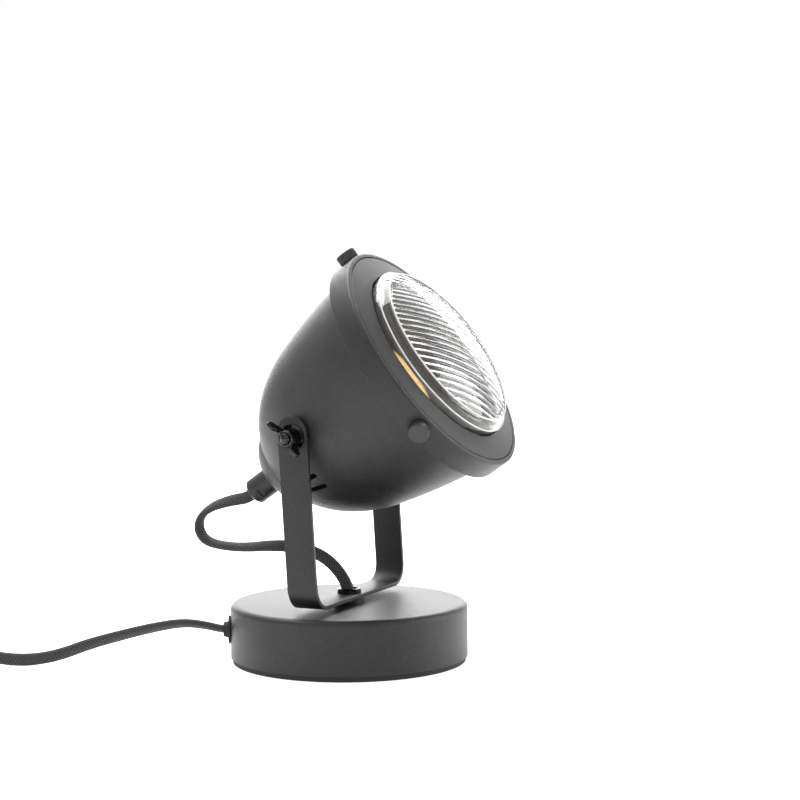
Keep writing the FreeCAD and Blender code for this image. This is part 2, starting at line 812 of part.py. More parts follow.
def make_rear():
    hole = size("tube_radius") + "hole_gap"
    wall = size("cap_wall")
    front = size("bowl_rear")
    turned("rear_cap", [
        (hole, "cap_rear"),
        (size("cap_rear_radius") - "cap_corner", "cap_rear"),
        ("cap_rear_radius", size("cap_rear") + "cap_corner", "cap_bulge"),
        ("cap_front_radius", front),
        (size("cap_front_radius") - wall, front, -(size("cap_bulge") - wall)),
        (size("cap_rear_radius") - wall * 0.8, size("cap_rear") + wall),
        (hole, size("cap_rear") + wall),
    ])
    insert_front = insert_end + "insert_length"
    insert_hole = size("insert_radius") + "hole_gap"
    grip = turned("cord_grip", [
        (insert_hole, grip_end),
        (size("grip_radius") - "grip_bevel", grip_end),
        ("grip_radius", grip_end + "grip_bevel"),
        ("grip_radius", "cap_rear"),
        (hole, "cap_rear"),
        (hole, insert_front),
        (insert_hole, insert_front),
    ])
    prism(grip, "Pocket", "XZ_Plane",
          lambda sketch: draw_circle(sketch, 0, "grip_screw_place",
                                     size("grip_screw_radius") + "hole_gap"),
          drill_reach * 2, attachment=beam_plane("grip_screw_angle", 0.0), reverse=True)
    turned("grip_insert", [
        ("insert_bore_radius", insert_end),
        (size("insert_radius") - 0.4, insert_end),
        ("insert_radius", insert_end + 0.4),
        ("insert_radius", insert_front),
        ("insert_bore_radius", insert_front),
    ])
    screw = new_body("grip_screw")
    screw_low = size("insert_radius") + "hole_gap"
    prism(screw, "Pad", "XZ_Plane",
          lambda sketch: draw_circle(sketch, 0, "grip_screw_place", "grip_screw_radius"),
          size("grip_radius") - screw_low - 0.25,
          attachment=beam_plane("grip_screw_angle", screw_low.number))
    slot = size("grip_screw_radius") * 0.16
    prism(screw, "Pocket", "XZ_Plane",
          lambda sketch: draw_box(sketch, -size("grip_screw_radius") - 1,
                                  size("grip_screw_place") - slot,
                                  size("grip_screw_radius") + 1,
                                  size("grip_screw_place") + slot),
          5.0, attachment=beam_plane("grip_screw_angle", SIZES["grip_radius"] - 1.25),
          reverse=True)
    ring("grip_nipple", "nipple_bore_radius", "tube_radius", "nipple_rear", "nipple_front")
    strip_front = rear_inside + "holder_strip"
    hex_nut("rear_nut", "rear_nut_flats", hole, strip_front, "rear_nut_thick")


def make_holder():
    bracket = new_body("holder_bracket")
    half = size("holder_half_width")
    strip = size("holder_strip")
    low = rear_inside
    high = size("holder_rear")

    # a C-shaped strip: base on the bowl's rear, two legs and two lips under the holder
    def section(sketch):
        draw_outline(sketch, [
            (-half, low), (half, low), (half, high), (half - "holder_lip", high),
            (half - "holder_lip", high - strip), (half - strip, high - strip),
            (half - strip, low + strip), (strip - half, low + strip),
            (strip - half, high - strip), (size("holder_lip") - half, high - strip),
            (size("holder_lip") - half, high), (-half, high),
        ])

    prism(bracket, "Pad", "XZ_Plane", section, "holder_strip_width", side="Symmetric")
    prism(bracket, "Pocket", "XY_Plane",
          lambda sketch: draw_circle(sketch, 0, 0, size("tube_radius") + "hole_gap"),
          strip * 2, offset=low - strip * 0.5, reverse=True)

    def pair(radius):
        def drawing(sketch):
            for side in (-1, 1):
                draw_circle(sketch, size("holder_screw_spread") * side, 0, radius)
        return drawing

    screw_hole = size("holder_screw_radius") + "hole_gap"
    prism(bracket, "Pocket", "XY_Plane", pair(screw_hole), strip * 2,
          offset=high - strip * 1.5, reverse=True)
    front = high + "holder_length"
    sink = size("holder_screw_radius") * 2
    holder = turned("lamp_holder", [(size("cord_radius") + "seat_gap", high),
                                    (size("holder_radius") - 1, high),
                                    ("holder_radius", high + 1),
                                    ("holder_radius", front),
                                    (size("cord_radius") + "seat_gap", front)])
    prism(holder, "Pocket", "XY_Plane", pair(screw_hole), "holder_length", offset=high,
          reverse=True)
    head_hole = size("holder_screw_radius") * 1.9 + "hole_gap"
    prism(holder, "Pocket", "XY_Plane", pair(head_hole), sink, offset=front)

    def pin_pair(radius):
        def drawing(sketch):
            for side in (-1, 1):
                draw_circle(sketch, 0, size("bulb_pin_spread") * side, radius)
        return drawing

    prism(holder, "Pocket", "XY_Plane", pin_pair(size("bulb_pin_radius") + "hole_gap"),
          size("bulb_pin_length") + "seat_gap", offset=front)
    screws = new_body("holder_screws")
    prism(screws, "Pad", "XY_Plane", pair("holder_screw_radius"),
          size("holder_length") - sink + strip * 2, offset=high - strip * 2)
    prism(screws, "Pad", "XY_Plane", pair(size("holder_screw_radius") * 1.9), sink * 0.6,
          offset=front - sink)

    bulb_rear = size("bulb_front") - "bulb_length"
    cup = bulb_rear + "bulb_base_length"
    rim = size("bulb_front") - "bulb_rim"
    bulb = turned("bulb", [
        (0, bulb_rear),
        ("bulb_base_radius", bulb_rear),
        ("bulb_base_radius", cup),
        (size("bulb_base_radius") + 3, cup + 1, size("bulb_length") * 0.9),
        (size("bulb_radius") - 1.5, rim),
        ("bulb_radius", rim),
        ("bulb_radius", "bulb_front"),
        (0, "bulb_front"),
    ])
    prism(bulb, "Pad", "XY_Plane", pin_pair("bulb_pin_radius"), "bulb_pin_length",
          offset=bulb_rear, reverse=True)


def make_front():
    sheet_wall = size("bezel_sheet")
    corner_arc = size("bezel_round")
    cone_start = size("bezel_corner")
    cone_radius = bezel_radius - "bezel_corner_inset"
    round_start = cone_start - 2.6
    opening = size("lens_radius") + "lens_fit"
    face_rise = (size("bezel_front") - cone_start) * "bezel_groove" / (cone_radius - opening)
    bezel = turned("bezel_ring", [
        (band_inside, "bezel_back"),
        (bezel_radius, "bezel_back"),
        (bezel_radius, round_start, corner_arc),
        (cone_radius, cone_start),
        (cone_radius - size("bezel_groove") / 2, cone_start - "bezel_groove_depth"),
        (cone_radius - "bezel_groove", cone_start + face_rise),
        (opening, "bezel_front"),
        (opening, size("bezel_front") - sheet_wall),
        (cone_radius - sheet_wall * 0.5, cone_start - sheet_wall, -(corner_arc - sheet_wall)),
        (band_inside, round_start),
    ])
    for angle in thumb_angles():
        prism(bezel, "Pocket", "XZ_Plane",
              lambda sketch: draw_circle(sketch, 0, "thumb_place",
                                         size("thumb_shank_radius") + "hole_gap"),
              drill_reach * 2, reverse=True,
              attachment=beam_plane(angle, bezel_radius.number - drill_reach))

    flange_top = size("lens_back") + "lens_flange"
    glass = size("lens_glass")
    ball = size("lens_dome_ball")
    dome_radius = size("lens_dome_radius")
    sag = ball - root(ball * ball - dome_radius * dome_radius)
    apex = size("lens_dome_start") + sag
    inner_ball = ball - glass
    inner_dome_radius = dome_radius * inner_ball / ball
    inner_sag = inner_ball - root(inner_ball * inner_ball - inner_dome_radius * inner_dome_radius)
    turned("lens", [
        (size("lens_radius") - glass, "lens_back"),
        ("lens_flange_radius", "lens_back"),
        ("lens_flange_radius", flange_top),
        ("lens_radius", flange_top),
        ("lens_radius", size("lens_edge") - 0.5),
        (size("lens_radius") - 0.5, "lens_edge"),
        (dome_radius, "lens_dome_start", ball),
        (0, apex),
        (0, apex - glass, -inner_ball),
        (inner_dome_radius, apex - glass - inner_sag),
        (size("lens_radius") - glass, size("lens_edge") - 2),
    ])
    gasket_in = size("lens_radius") + "seat_gap"
    ring("lens_gasket", gasket_in, gasket_in + "gasket_width", flange_top,
         flange_top + "gasket_thick")
    ring("lens_retainer", "retainer_inner_radius", band_inside - "retainer_fit",
         size("lens_back") - "retainer_thick", "lens_back")

    nut_out = root((size("rim_radius") - "bowl_wall") * (size("rim_radius") - "bowl_wall")
                   - size("rim_nut_flats") * "rim_nut_flats" * 0.34)
    nuts = new_body("rim_nuts")

    def nut_section(sketch):
        draw_hexagon(sketch, "rim_nut_flats", 0, "thumb_place")
        draw_circle(sketch, 0, "thumb_place", size("thumb_shank_radius") + "run_gap")

    nut_low = (nut_out - "rim_nut_thick").number
    for angle in thumb_angles():
        prism(nuts, "Pad", "XZ_Plane", nut_section, "rim_nut_thick",
              attachment=beam_plane(angle, nut_low))
    return nuts


def make_thumbscrew(index):
    name = "thumbscrew_%d" % (index + 1)
    low = bezel_radius + 0.1
    high = low + "thumb_height"
    edge = size("thumb_edge")
    screw = turned(name, [
        (0, "thumb_shank_end"),
        ("thumb_shank_radius", "thumb_shank_end"),
        ("thumb_shank_radius", low),
        (size("thumb_radius") - edge, low),
        ("thumb_radius", low + edge),
        ("thumb_radius", high - edge),
        (size("thumb_radius") - edge, high),
        (0, high),
    ])
    # the screw's own Z points outwards from the beam
    angle = thumb_angles()[index]
    radians = math.radians(angle)
    outward = Vector(math.sin(radians), math.cos(radians), 0)
    local = Placement(Vector(0, 0, SIZES["thumb_place"]), Rotation(Vector(0, 0, 1), outward))
    screw.Placement = head_place.multiply(local)


def side_place(sign):
    return Placement(hinge_point, Rotation(Vector(0, 1, 0), quarter_turn * sign))


def make_hinge():
    outer = strap_outer_half
    washers = ring("hinge_washers", bolt_hole, "hinge_washer_radius", outer,
                   outer + "hinge_washer")
    mirrored(washers, [washers.Tip], "XY_Plane")
    washers.Placement = side_place(1)

    inner = ring("inner_washers", bolt_hole, "inner_washer_radius", boss_face + "shim_gap",
                 strap_inner_half - "shim_gap")
    mirrored(inner, [inner.Tip], "XY_Plane")
    inner.Placement = side_place(1)

    dome = size("bolt_radius")
    head_low = boss_face - "boss_depth" - "bolt_head"
    bolts = turned("hinge_bolts", [
        (0, head_low), ("bolt_radius", head_low),
        ("bolt_radius", bolt_reach - dome * 0.5, dome * 1.25),
        (0, bolt_reach),
    ])
    shank = bolts.Tip
    head = prism(bolts, "Pad", "XY_Plane", lambda sketch: draw_hexagon(sketch, "bolt_head_flats"),
                 "bolt_head", offset=head_low)
    mirrored(bolts, [shank, head], "XY_Plane")
    bolts.Placement = side_place(1)

    # a coned nut with two wings that reach past its top
    nut_low = outer + "hinge_washer"
    height = size("wing_height")
    half_wing = size("wing_thick") / 2
    for name, sign, turn in (("wing_nut_near", -1, 45.0), ("wing_nut_far", 1, 20.0)):
        nut = turned(name, [
            (0, nut_low), ("wing_base_radius", nut_low),
            ("wing_base_radius", nut_low + 1), ("wing_neck_radius", nut_low + height),
            (0, nut_low + height),
        ])

        def wings(sketch):
            draw_outline(sketch, [
                (0, nut_low + 1.5),
                (size("wing_base_radius") - 0.5, nut_low + 1.5),
                (size("wing_reach") - 1.2, nut_low + size("wing_tip") * 0.48, 3.3),
                (size("wing_reach") - 3.6, nut_low + "wing_tip"),
                (size("wing_neck_radius") * 0.9, nut_low + height - 0.5),
                (0, nut_low + height - 0.5),
            ])

        wing = prism(nut, "Pad", "XZ_Plane", wings, half_wing * 2, side="Symmetric")
        mirrored(nut, [wing], "YZ_Plane")
        prism(nut, "Pocket", "XY_Plane",
              lambda sketch: draw_circle(sketch, 0, 0, size("bolt_radius") + "run_gap"),
              height * 3, offset=nut_low - 1, reverse=True)
        nut.Placement = side_place(sign).multiply(
            Placement(Vector(), Rotation(Vector(0, 0, 1), turn)))


# Cords


def tangent_arcs(points):
    runs = [(b - a).Length for a, b in zip(points, points[1:])]
    edges = []
    radii = []
    start = points[0]
    for index in range(1, len(points) - 1):
        before = (points[index] - points[index - 1]).normalize()
        after = (points[index + 1] - points[index]).normalize()
        turn = before.getAngle(after)
        cut = 0.45 * min(runs[index - 1], runs[index])
        radius = cut / math.tan(turn / 2)
        enter = points[index] - before * cut
        leave = points[index] + after * cut
        centre = enter + ((after - before * before.dot(after)).normalize()) * radius
        middle = centre + (points[index] - centre).normalize() * radius
        edges.append(Part.LineSegment(start, enter))
        edges.append(Part.Arc(enter, middle, leave))
        radii.append(radius)
        start = leave
    edges.append(Part.LineSegment(start, points[-1]))
    return edges, radii


def sweep(name, edges, radius):
    wire = Part.Wire([edge.toShape() for edge in edges])
    first = wire.OrderedEdges[0]
    begin = first.valueAt(first.FirstParameter)
    along = first.tangentAt(first.FirstParameter)
    section = Part.Wire([Part.makeCircle(radius, begin, along)])
    solid = wire.makePipeShell([section], True, False)
    piece = keep(doc.addObject("Part::Feature", name))
    piece.Label = name
    piece.Shape = solid
    ideal = math.pi * radius ** 2 * wire.Length
    print("%s length %.1f volume ratio %.4f" % (name, wire.Length, solid.Volume / ideal))
    return piece


def cord(name, places):
    points = [Vector(*place) for place in places]
    edges, radii = tangent_arcs(points)
    print(name, "radii", " ".join("%.1f" % radius for radius in radii))
    return sweep(name, edges, SIZES["cord_radius"])


base_cord_points = [
    (0.0, 0.0, 30.0), (0.0, 0.0, 22.6), (-0.5, 1.0, 15.2), (-3.3, 6.3, 9.3),
    (-8.6, 16.5, 9.6), (-12.8, 24.5, 15.6), (-17.6, 33.8, 16.7), (-22.6, 43.3, 16.8),
    (-26.9, 51.7, 16.7),
]
loop_cord_points = [
    (0.0, 57.82, 85.26), (0.0, 60.902, 83.122), (0.0, 66.6, 82.2), (0.0, 73.5, 80.6),
    (0.0, 80.6, 78.3), (0.0, 86.5, 75.1), (0.0, 90.2, 70.7), (0.0, 91.1, 65.6),
    (0.0, 88.9, 60.9), (0.0, 84.6, 58.0), (0.0, 78.4, 56.8), (0.0, 70.0, 56.1),
    (0.0, 59.8, 56.4), (0.0, 49.2, 57.7),
    (0.0, 38.0, 58.3), (0.0, 27.0, 57.4), (0.0, 17.4, 54.7), (0.0, 10.2, 50.4),
    (0.0, 4.3, 44.2), (0.0, 0.0, 36.7), (0.0, 0.0, 30.0),
]
lead_cord_points = [
    (-26.9, 51.7, 16.7), (-30.7, 59.12, 16.61), (-35.2, 66.9, 19.2), (-41.0, 76.9, 20.9),
    (-48.6, 89.6, 18.9), (-57.5, 104.3, 15.2), (-66.0, 119.2, 10.9), (-73.0, 132.2, 5.6),
    (-79.0, 144.0, 2.8), (-83.9, 155.2, 2.7), (-87.2, 164.3, 4.6), (-89.9, 171.8, 7.3),
    (-92.5, 179.6, 7.5), (-94.4, 185.3, 7.5),
]
lead_cord_2_points = [
    (-109.5, 229.7, 7.5), (-111.6, 236.0, 7.5), (-113.6, 242.5, 7.1), (-115.2, 249.6, 4.2),
    (-116.0, 257.0, 2.7), (-116.3, 264.5, 2.65), (-116.0, 270.5, 2.62), (-116.0, 276.8, 2.62),
]
tail_cord_points = [
    (-62.8, 0.0, 8.37), (-53.5, 0.0, 8.37), (-42.5, -0.4, 5.6), (-31.0, -0.9, 2.9),
    (-19.5, -1.1, 2.7), (-9.5, -0.8, 4.6), (-1.0, 0.0, 6.85), (6.0, 0.0, 6.85),
]
coil_centre = Vector(-68.0, 282.0, 2.62)


# The coil's middle line: in at a steady rate, up one layer in the half turn where the
# spiral reverses, then out again
def coil_place(turn):
    reverse = SIZES["coil_turns"] / 2
    depth = reverse - abs(turn - reverse)
    radius = SIZES["coil_outer"] - SIZES["coil_pitch"] * depth
    climb = min(max((turn - reverse + 0.25) / 0.5, 0.0), 1.0)
    lift = SIZES["coil_layer"] * climb ** 2 * (3 - 2 * climb)
    angle = math.pi - 2 * math.pi * turn
    return coil_centre + Vector(radius * math.cos(angle), radius * math.sin(angle), lift)


def coil_way(turn):
    small = 1e-4
    return (coil_place(turn + small) - coil_place(turn - small)).normalize()


# Two arcs that join smoothly between two places with given directions
def biarc(start, start_way, finish, finish_way):
    chord = finish - start
    total = start_way + finish_way
    a = total.dot(total) - 4
    b = -2 * chord.dot(total)
    c = chord.dot(chord)
    if abs(a) < 1e-9:
        reach = c / -b
    else:
        reach = (-b - math.sqrt(b * b - 4 * a * c)) / (2 * a)
        if reach < 0:
            reach = (-b + math.sqrt(b * b - 4 * a * c)) / (2 * a)
    joint = (start + finish + (start_way - finish_way) * reach) / 2
    edges = []
    for place, way, other in ((start, start_way, joint), (finish, -finish_way, joint)):
        across = other - place
        normal = across - way * across.dot(way)
        if normal.Length < 1e-7:
            edges.append((place, None, other))
            continue
        radius = across.dot(across) / (2 * normal.Length)
        normal.normalize()
        centre = place + normal * radius
        half = ((place - centre) + (other - centre)).normalize() * radius
        edges.append((place, centre + half, other))
    first = edges[0]
    second = (edges[1][2], edges[1][1], edges[1][0])
    made = []
    for begin, middle, end in (first, second):
        made.append(Part.LineSegment(begin, end) if middle is None else Part.Arc(begin, middle, end))
    return made


def make_coil():
    steps = int(round(SIZES["coil_turns"] * 4))
    nodes = [SIZES["coil_turns"] * index / steps for index in range(steps + 1)]
    diameter = 2 * SIZES["cord_radius"]
    ways = [coil_way(turn) for turn in nodes]
    ways[0] = Vector(0, 1, 0)
    ways[-1] = Vector(1, 0, 0)
    first = coil_place(nodes[0])
    last = coil_place(nodes[-1])
    edges = [Part.LineSegment(first - ways[0] * diameter, first)]
    for index in range(steps):
        edges += biarc(coil_place(nodes[index]), ways[index],
                       coil_place(nodes[index + 1]), ways[index + 1])
    edges.append(Part.LineSegment(last, last + ways[-1] * diameter))
    sweep("cord_coil", edges, SIZES["cord_radius"])
    samples = []
    for edge in edges:
        samples += edge.discretize(Distance=2.0)[:-1]
    run = [0.0]
    for a, b in zip(samples, samples[1:]):
        run.append(run[-1] + (b - a).Length)
    least = min((samples[i] - samples[j]).Length
                for i in range(len(samples)) for j in range(i)
                if run[i] - run[j] > 8 * diameter)
    print("cord_coil least gap to itself %.2f, end at %s" % (least - diameter, last))
    return last + ways[-1] * diameter


# Switch and plug


def switch_outline(shrink):
    length = size("switch_half_length") - shrink
    width = size("switch_half_width") - shrink
    narrow = size("switch_end_half_width") - shrink
    waist = size("switch_waist") - shrink * 0.4
    return [(length, -narrow), (length, narrow), (waist, width), (-waist, width),
            (-length, narrow), (-length, -narrow), (-waist, -width), (waist, -width)]


def make_switch():
    wall = size("switch_wall")
    half_height = size("switch_height") / 2
    lower = new_body("switch_lower")
    upper = new_body("switch_upper")
    well_half = size("rocker_half_length") + "rocker_clear"
    cheek = size("rocker_cheek")
    opening = size("rocker_half_width") + "seat_gap"
    for body, base, floor in ((lower, size(0.0), wall), (upper, half_height, half_height)):
        prism(body, "Pad", "XY_Plane", lambda sketch: draw_outline(sketch, switch_outline(0.0)),
              half_height, offset=base)
        prism(body, "Pocket", "XY_Plane",
              lambda sketch: draw_outline(sketch, switch_outline(wall)),
              half_height - wall, offset=floor, reverse=True)
        prism(body, "Pocket", "YZ_Plane",
              lambda sketch: draw_circle(sketch, 0, half_height, size("cord_radius") + "seat_gap"),
              size("switch_half_length") * 3, side="Symmetric")
    # the rocker's well: two cheeks that carry its pivot, and the opening above them
    cheek_top = size("switch_height") - wall
    for side in (-1, 1):
        low_y = opening if side > 0 else -opening - cheek
        prism(upper, "Pad", "XY_Plane",
              lambda sketch: draw_box(sketch, -well_half, low_y, well_half, low_y + cheek),
              size("switch_height") - wall * 0.5 - (half_height + 1), offset=half_height + 1)
    prism(upper, "Pocket", "XY_Plane",
          lambda sketch: draw_box(sketch, -well_half, -opening, well_half, opening),
          wall * 3, offset=cheek_top - wall, reverse=True)
    pin_hole = size("rocker_pin_radius") + "run_gap"
    prism(upper, "Pocket", "XZ_Plane",
          lambda sketch: draw_circle(sketch, 0, "rocker_pivot_height", pin_hole),
          (opening + cheek) * 2, side="Symmetric")

    rocker = new_body("switch_rocker")
    long_half = size("rocker_half_length")

    # drawn about its pivot, which stands at the sketch's origin
    def rocker_side(sketch):
        draw_outline(sketch, [
            (-long_half * 0.75, -2.4), (long_half * 0.75, -2.4), (long_half, "rocker_top"),
            (0, size("rocker_top") - "rocker_dip"), (-long_half, "rocker_top"),
        ])

    prism(rocker, "Pad", "XZ_Plane", rocker_side, size("rocker_half_width") * 2,
          side="Symmetric")
    prism(rocker, "Pad", "XZ_Plane",
          lambda sketch: draw_circle(sketch, 0, 0, "rocker_pin_radius"),
          (opening + 1.4) * 2, side="Symmetric")

    screws = new_body("switch_screws")

    def screw_pair(radius):
        def drawing(sketch):
            for side in (-1, 1):
                draw_circle(sketch, size("switch_screw_along") * side,
                            size("switch_screw_across") * -1, radius)
        return drawing

    clear = size("switch_screw_radius") + "hole_gap"
    for body, base in ((lower, size(0.0)), (upper, half_height)):
        prism(body, "Pad", "XY_Plane", screw_pair(clear + 1.2), half_height, offset=base)
    prism(lower, "Pocket", "XY_Plane", screw_pair(clear), half_height, reverse=True)
    prism(lower, "Pocket", "XY_Plane", screw_pair(clear + 0.9), 1.8, reverse=True)
    prism(upper, "Pocket", "XY_Plane", screw_pair(clear), half_height - wall,
          offset=half_height, reverse=True)
    prism(screws, "Pad", "XY_Plane", screw_pair("switch_screw_radius"), half_height + 2,
          offset=1.8)
    prism(screws, "Pad", "XY_Plane", screw_pair(size("switch_screw_radius") + 0.9), 1.4,
          offset=0.4)

    heading = SIZES["switch_heading"]
    inset = lead_cord_points[-1]
    outset = lead_cord_2_points[0]
    middle = Vector((inset[0] + outset[0]) / 2, (inset[1] + outset[1]) / 2, 0)
    place = Placement(middle, Rotation(Vector(0, 0, 1), heading))
    for body in (lower, upper, screws):
        body.Placement = place
    rock = Placement(Vector(0, 0, SIZES["rocker_pivot_height"]),
                     Rotation(Vector(0, 1, 0), -SIZES["rocker_angle"]))
    rocker.Placement = place.multiply(rock)
    print("switch middle", middle)


def make_plug(start):
    body = new_body("plug_body")
    half_thick = size("plug_thick") / 2
    relief = size("plug_relief")
    front = relief + "plug_body"
    half_width = size("plug_width") / 2
    prism(body, "Pad", "XY_Plane",
          lambda sketch: draw_outline(sketch, [
              (relief, -size("plug_neck_half_width")),
              (relief + size("plug_body") * 0.55, -half_width),
              (front, -half_width), (front, half_width),
              (relief + size("plug_body") * 0.55, half_width),
              (relief, "plug_neck_half_width"),
          ]), "plug_thick", side="Symmetric")
    turned_relief = [
        (0, 0), (size("cord_radius") + 0.9, 0), (half_thick * 0.8, relief + 2), (0, relief + 2),
    ]
    sketch = new_sketch(body, "plug_relief_profile", "XY_Plane")
    draw_outline(sketch, [(y, x) for x, y in turned_relief][::-1])
    feature = body.newObject("PartDesign::Revolution", "plug_relief_turn")
    feature.Profile = sketch
    feature.ReferenceAxis = (sketch, ["H_Axis"])
    feature.Angle = 360
    body.Tip = feature
    doc.recompute()
    pins = new_body("plug_pins")

    def pin_section(sketch):
        for side in (-1, 1):
            draw_circle(sketch, size("plug_pin_spread") * side, 0, "plug_pin_radius")

    prism(pins, "Pad", "YZ_Plane", pin_section, "plug_pin_length", offset=front)
    for piece in (body, pins):
        piece.Placement = Placement(start, Rotation())


make_base()
make_outlet()
make_stack()
make_bracket()
first_head_piece = len(parts)
make_head_shell()
make_rear()
make_holder()
make_front()
for piece in parts[first_head_piece:]:
    piece.Placement = head_place
for index in range(3):
    make_thumbscrew(index)
make_hinge()
coil_exit = make_coil()
head_cord_end = head_place.multVec(Vector(0, 0, SIZES["holder_rear"]))
insert_face = head_place.multVec(Vector(0, 0, insert_end.number))
sweep("head_cord", [Part.LineSegment(insert_face, head_cord_end)], SIZES["cord_radius"])
cord("loop_cord", [tuple(insert_face)] + loop_cord_points[1:])
cord("base_cord", base_cord_points)
cord("lead_cord", lead_cord_points)
cord("lead_cord_2", lead_cord_2_points)
tail_points = [(x, coil_exit.y + y, z) for x, y, z in tail_cord_points]
cord("tail_cord", [tuple(coil_exit)] + tail_points[1:])
make_switch()
make_plug(Vector(*tail_points[-1]))

# Every object must be sound before anything is written
doc.recompute()
os.makedirs("parts", exist_ok=True)
for item in doc.Objects:
    if "Invalid" in item.State or "Error" in item.State:
        raise ValueError("%s is in state %s" % (item.Label, item.State))
for piece in parts:
    if piece.Shape.isNull() or not piece.Shape.isValid() or not piece.Shape.Solids:
        raise ValueError("%s has no sound shape" % piece.Label)
for piece in parts:
    piece.Shape.exportStep("parts/%s.step" % piece.Label)
print("%d pieces written" % len(parts))
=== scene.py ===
import bpy
import json
import math
from mathutils import Matrix, Vector


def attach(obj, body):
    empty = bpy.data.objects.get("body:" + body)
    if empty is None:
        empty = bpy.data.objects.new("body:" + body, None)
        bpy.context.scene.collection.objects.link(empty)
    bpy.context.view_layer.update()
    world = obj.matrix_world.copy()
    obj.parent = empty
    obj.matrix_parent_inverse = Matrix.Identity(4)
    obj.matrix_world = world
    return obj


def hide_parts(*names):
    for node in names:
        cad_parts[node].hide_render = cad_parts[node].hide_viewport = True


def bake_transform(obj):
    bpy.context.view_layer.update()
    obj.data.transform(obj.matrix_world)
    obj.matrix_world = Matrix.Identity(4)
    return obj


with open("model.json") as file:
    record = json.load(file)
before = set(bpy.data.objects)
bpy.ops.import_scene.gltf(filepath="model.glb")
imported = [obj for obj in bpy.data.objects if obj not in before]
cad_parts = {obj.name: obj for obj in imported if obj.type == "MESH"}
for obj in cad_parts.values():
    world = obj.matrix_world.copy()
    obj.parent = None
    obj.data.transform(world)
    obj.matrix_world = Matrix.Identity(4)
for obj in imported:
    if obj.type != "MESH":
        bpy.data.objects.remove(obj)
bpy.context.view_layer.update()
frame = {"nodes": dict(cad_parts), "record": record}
nodes = frame["nodes"]
scene = bpy.context.scene
mm = 0.001
tiny = 1e-6

print("camera and light")

# the camera stands where the photograph was taken from
cameraView = {
    "place": (-0.84931, -0.40692, 0.18456),
    "forward": (0.91287, 0.40510, -0.05059),
    "up": (0.04872, 0.01494, 0.99870),
    "lens": 80.7,
    "sensor": 36.0,
    "nearest": 0.01,
}

studio = {
    "white": (1, 1, 1, 1),
    "skyForLook": 1.0,       # what the camera, gloss and glass see
    "skyForLight": 0.30,     # what lights matte surfaces
    "floorColour": (0.93, 0.93, 0.93, 1),
    "floorLift": 0.74,       # the floor's own light, for the same rays as skyForLook
    "floorHalf": 6.0,
    "floorLow": -0.0002,     # just under the rest plane
    "aim": (0, 0, 0.1),      # what the lamps point at
    "lamps": [
        # name, place, size, watts, seen in gloss
        ("softTop", (0.35, 0.45, 1.25), 1.1, 20.0, True),
        ("backWall", (1.5, 0.68, 0.55), 1.7, 22.0, True),
        ("rightWall", (0.95, -1.4, 0.5), 1.1, 12.0, True),
        ("softLeft", (-0.9, 0.9, 0.7), 0.7, 3.0, False),
        ("softFront", (-0.95, -0.55, 1.0), 0.6, 5.0, False),
    ],
}


def newFinish(name):
    material = bpy.data.materials.new(name)
    material.use_nodes = True
    return material, material.node_tree, material.node_tree.nodes["Principled BSDF"]


def fill(node, values):
    for name, value in values.items():
        node.inputs[name].default_value = value


def combine(tree, operation, *values):
    # a math node that takes sockets and plain numbers
    node = tree.nodes.new("ShaderNodeMath")
    node.operation = operation
    for socket, value in zip(node.inputs, values):
        if isinstance(value, float):
            socket.default_value = value
        else:
            tree.links.new(value, socket)
    return node.outputs[0]


def seenRay(tree):
    # 1 for rays from the camera, off gloss or through glass
    path = tree.nodes.new("ShaderNodeLightPath")
    direct = combine(tree, "MAXIMUM", path.outputs["Is Camera Ray"], path.outputs["Is Glossy Ray"])
    return combine(tree, "MAXIMUM", direct, path.outputs["Is Transmission Ray"])


def makeCamera():
    data = bpy.data.cameras.new("photoCamera")
    data.lens = cameraView["lens"]
    data.sensor_width = cameraView["sensor"]
    data.clip_start = cameraView["nearest"]
    camera = bpy.data.objects.new("photoCamera", data)
    forward = Vector(cameraView["forward"]).normalized()
    right = forward.cross(Vector(cameraView["up"])).normalized()
    up = right.cross(forward)
    turn = Matrix((right, up, -forward)).transposed()
    camera.matrix_world = Matrix.Translation(cameraView["place"]) @ turn.to_4x4()
    scene.collection.objects.link(camera)
    scene.camera = camera


def makeWorld():
    world = bpy.data.worlds.new("paleStudio")
    scene.world = world
    world.use_nodes = True
    tree = world.node_tree
    tree.nodes.clear()
    mix = tree.nodes.new("ShaderNodeMixShader")
    tree.links.new(seenRay(tree), mix.inputs[0])
    for index, strength in ((1, studio["skyForLight"]), (2, studio["skyForLook"])):
        sky = tree.nodes.new("ShaderNodeBackground")
        fill(sky, {"Color": studio["white"], "Strength": strength})
        tree.links.new(sky.outputs[0], mix.inputs[index])
    out = tree.nodes.new("ShaderNodeOutputWorld")
    tree.links.new(mix.outputs[0], out.inputs["Surface"])


def makeFloor():
    half = studio["floorHalf"]
    corners = [(x, y, studio["floorLow"])
               for x, y in ((-half, -half), (half, -half), (half, half), (-half, half))]
    mesh = bpy.data.meshes.new("floor")
    mesh.from_pydata(corners, [], [(0, 1, 2, 3)])
    floor = bpy.data.objects.new("floor", mesh)
    scene.collection.objects.link(floor)
    material, tree, base = newFinish("paleFloor")
    fill(base, {"Base Color": studio["floorColour"], "Roughness": 1.0, "Specular IOR Level": 0.0})
    lift = tree.nodes.new("ShaderNodeEmission")
    fill(lift, {"Color": studio["white"]})
    strength = combine(tree, "MULTIPLY", seenRay(tree), studio["floorLift"])
    tree.links.new(strength, lift.inputs["Strength"])
    add = tree.nodes.new("ShaderNodeAddShader")
    tree.links.new(base.outputs[0], add.inputs[0])
    tree.links.new(lift.outputs[0], add.inputs[1])
    tree.links.new(add.outputs[0], tree.nodes["Material Output"].inputs["Surface"])
    mesh.materials.append(material)


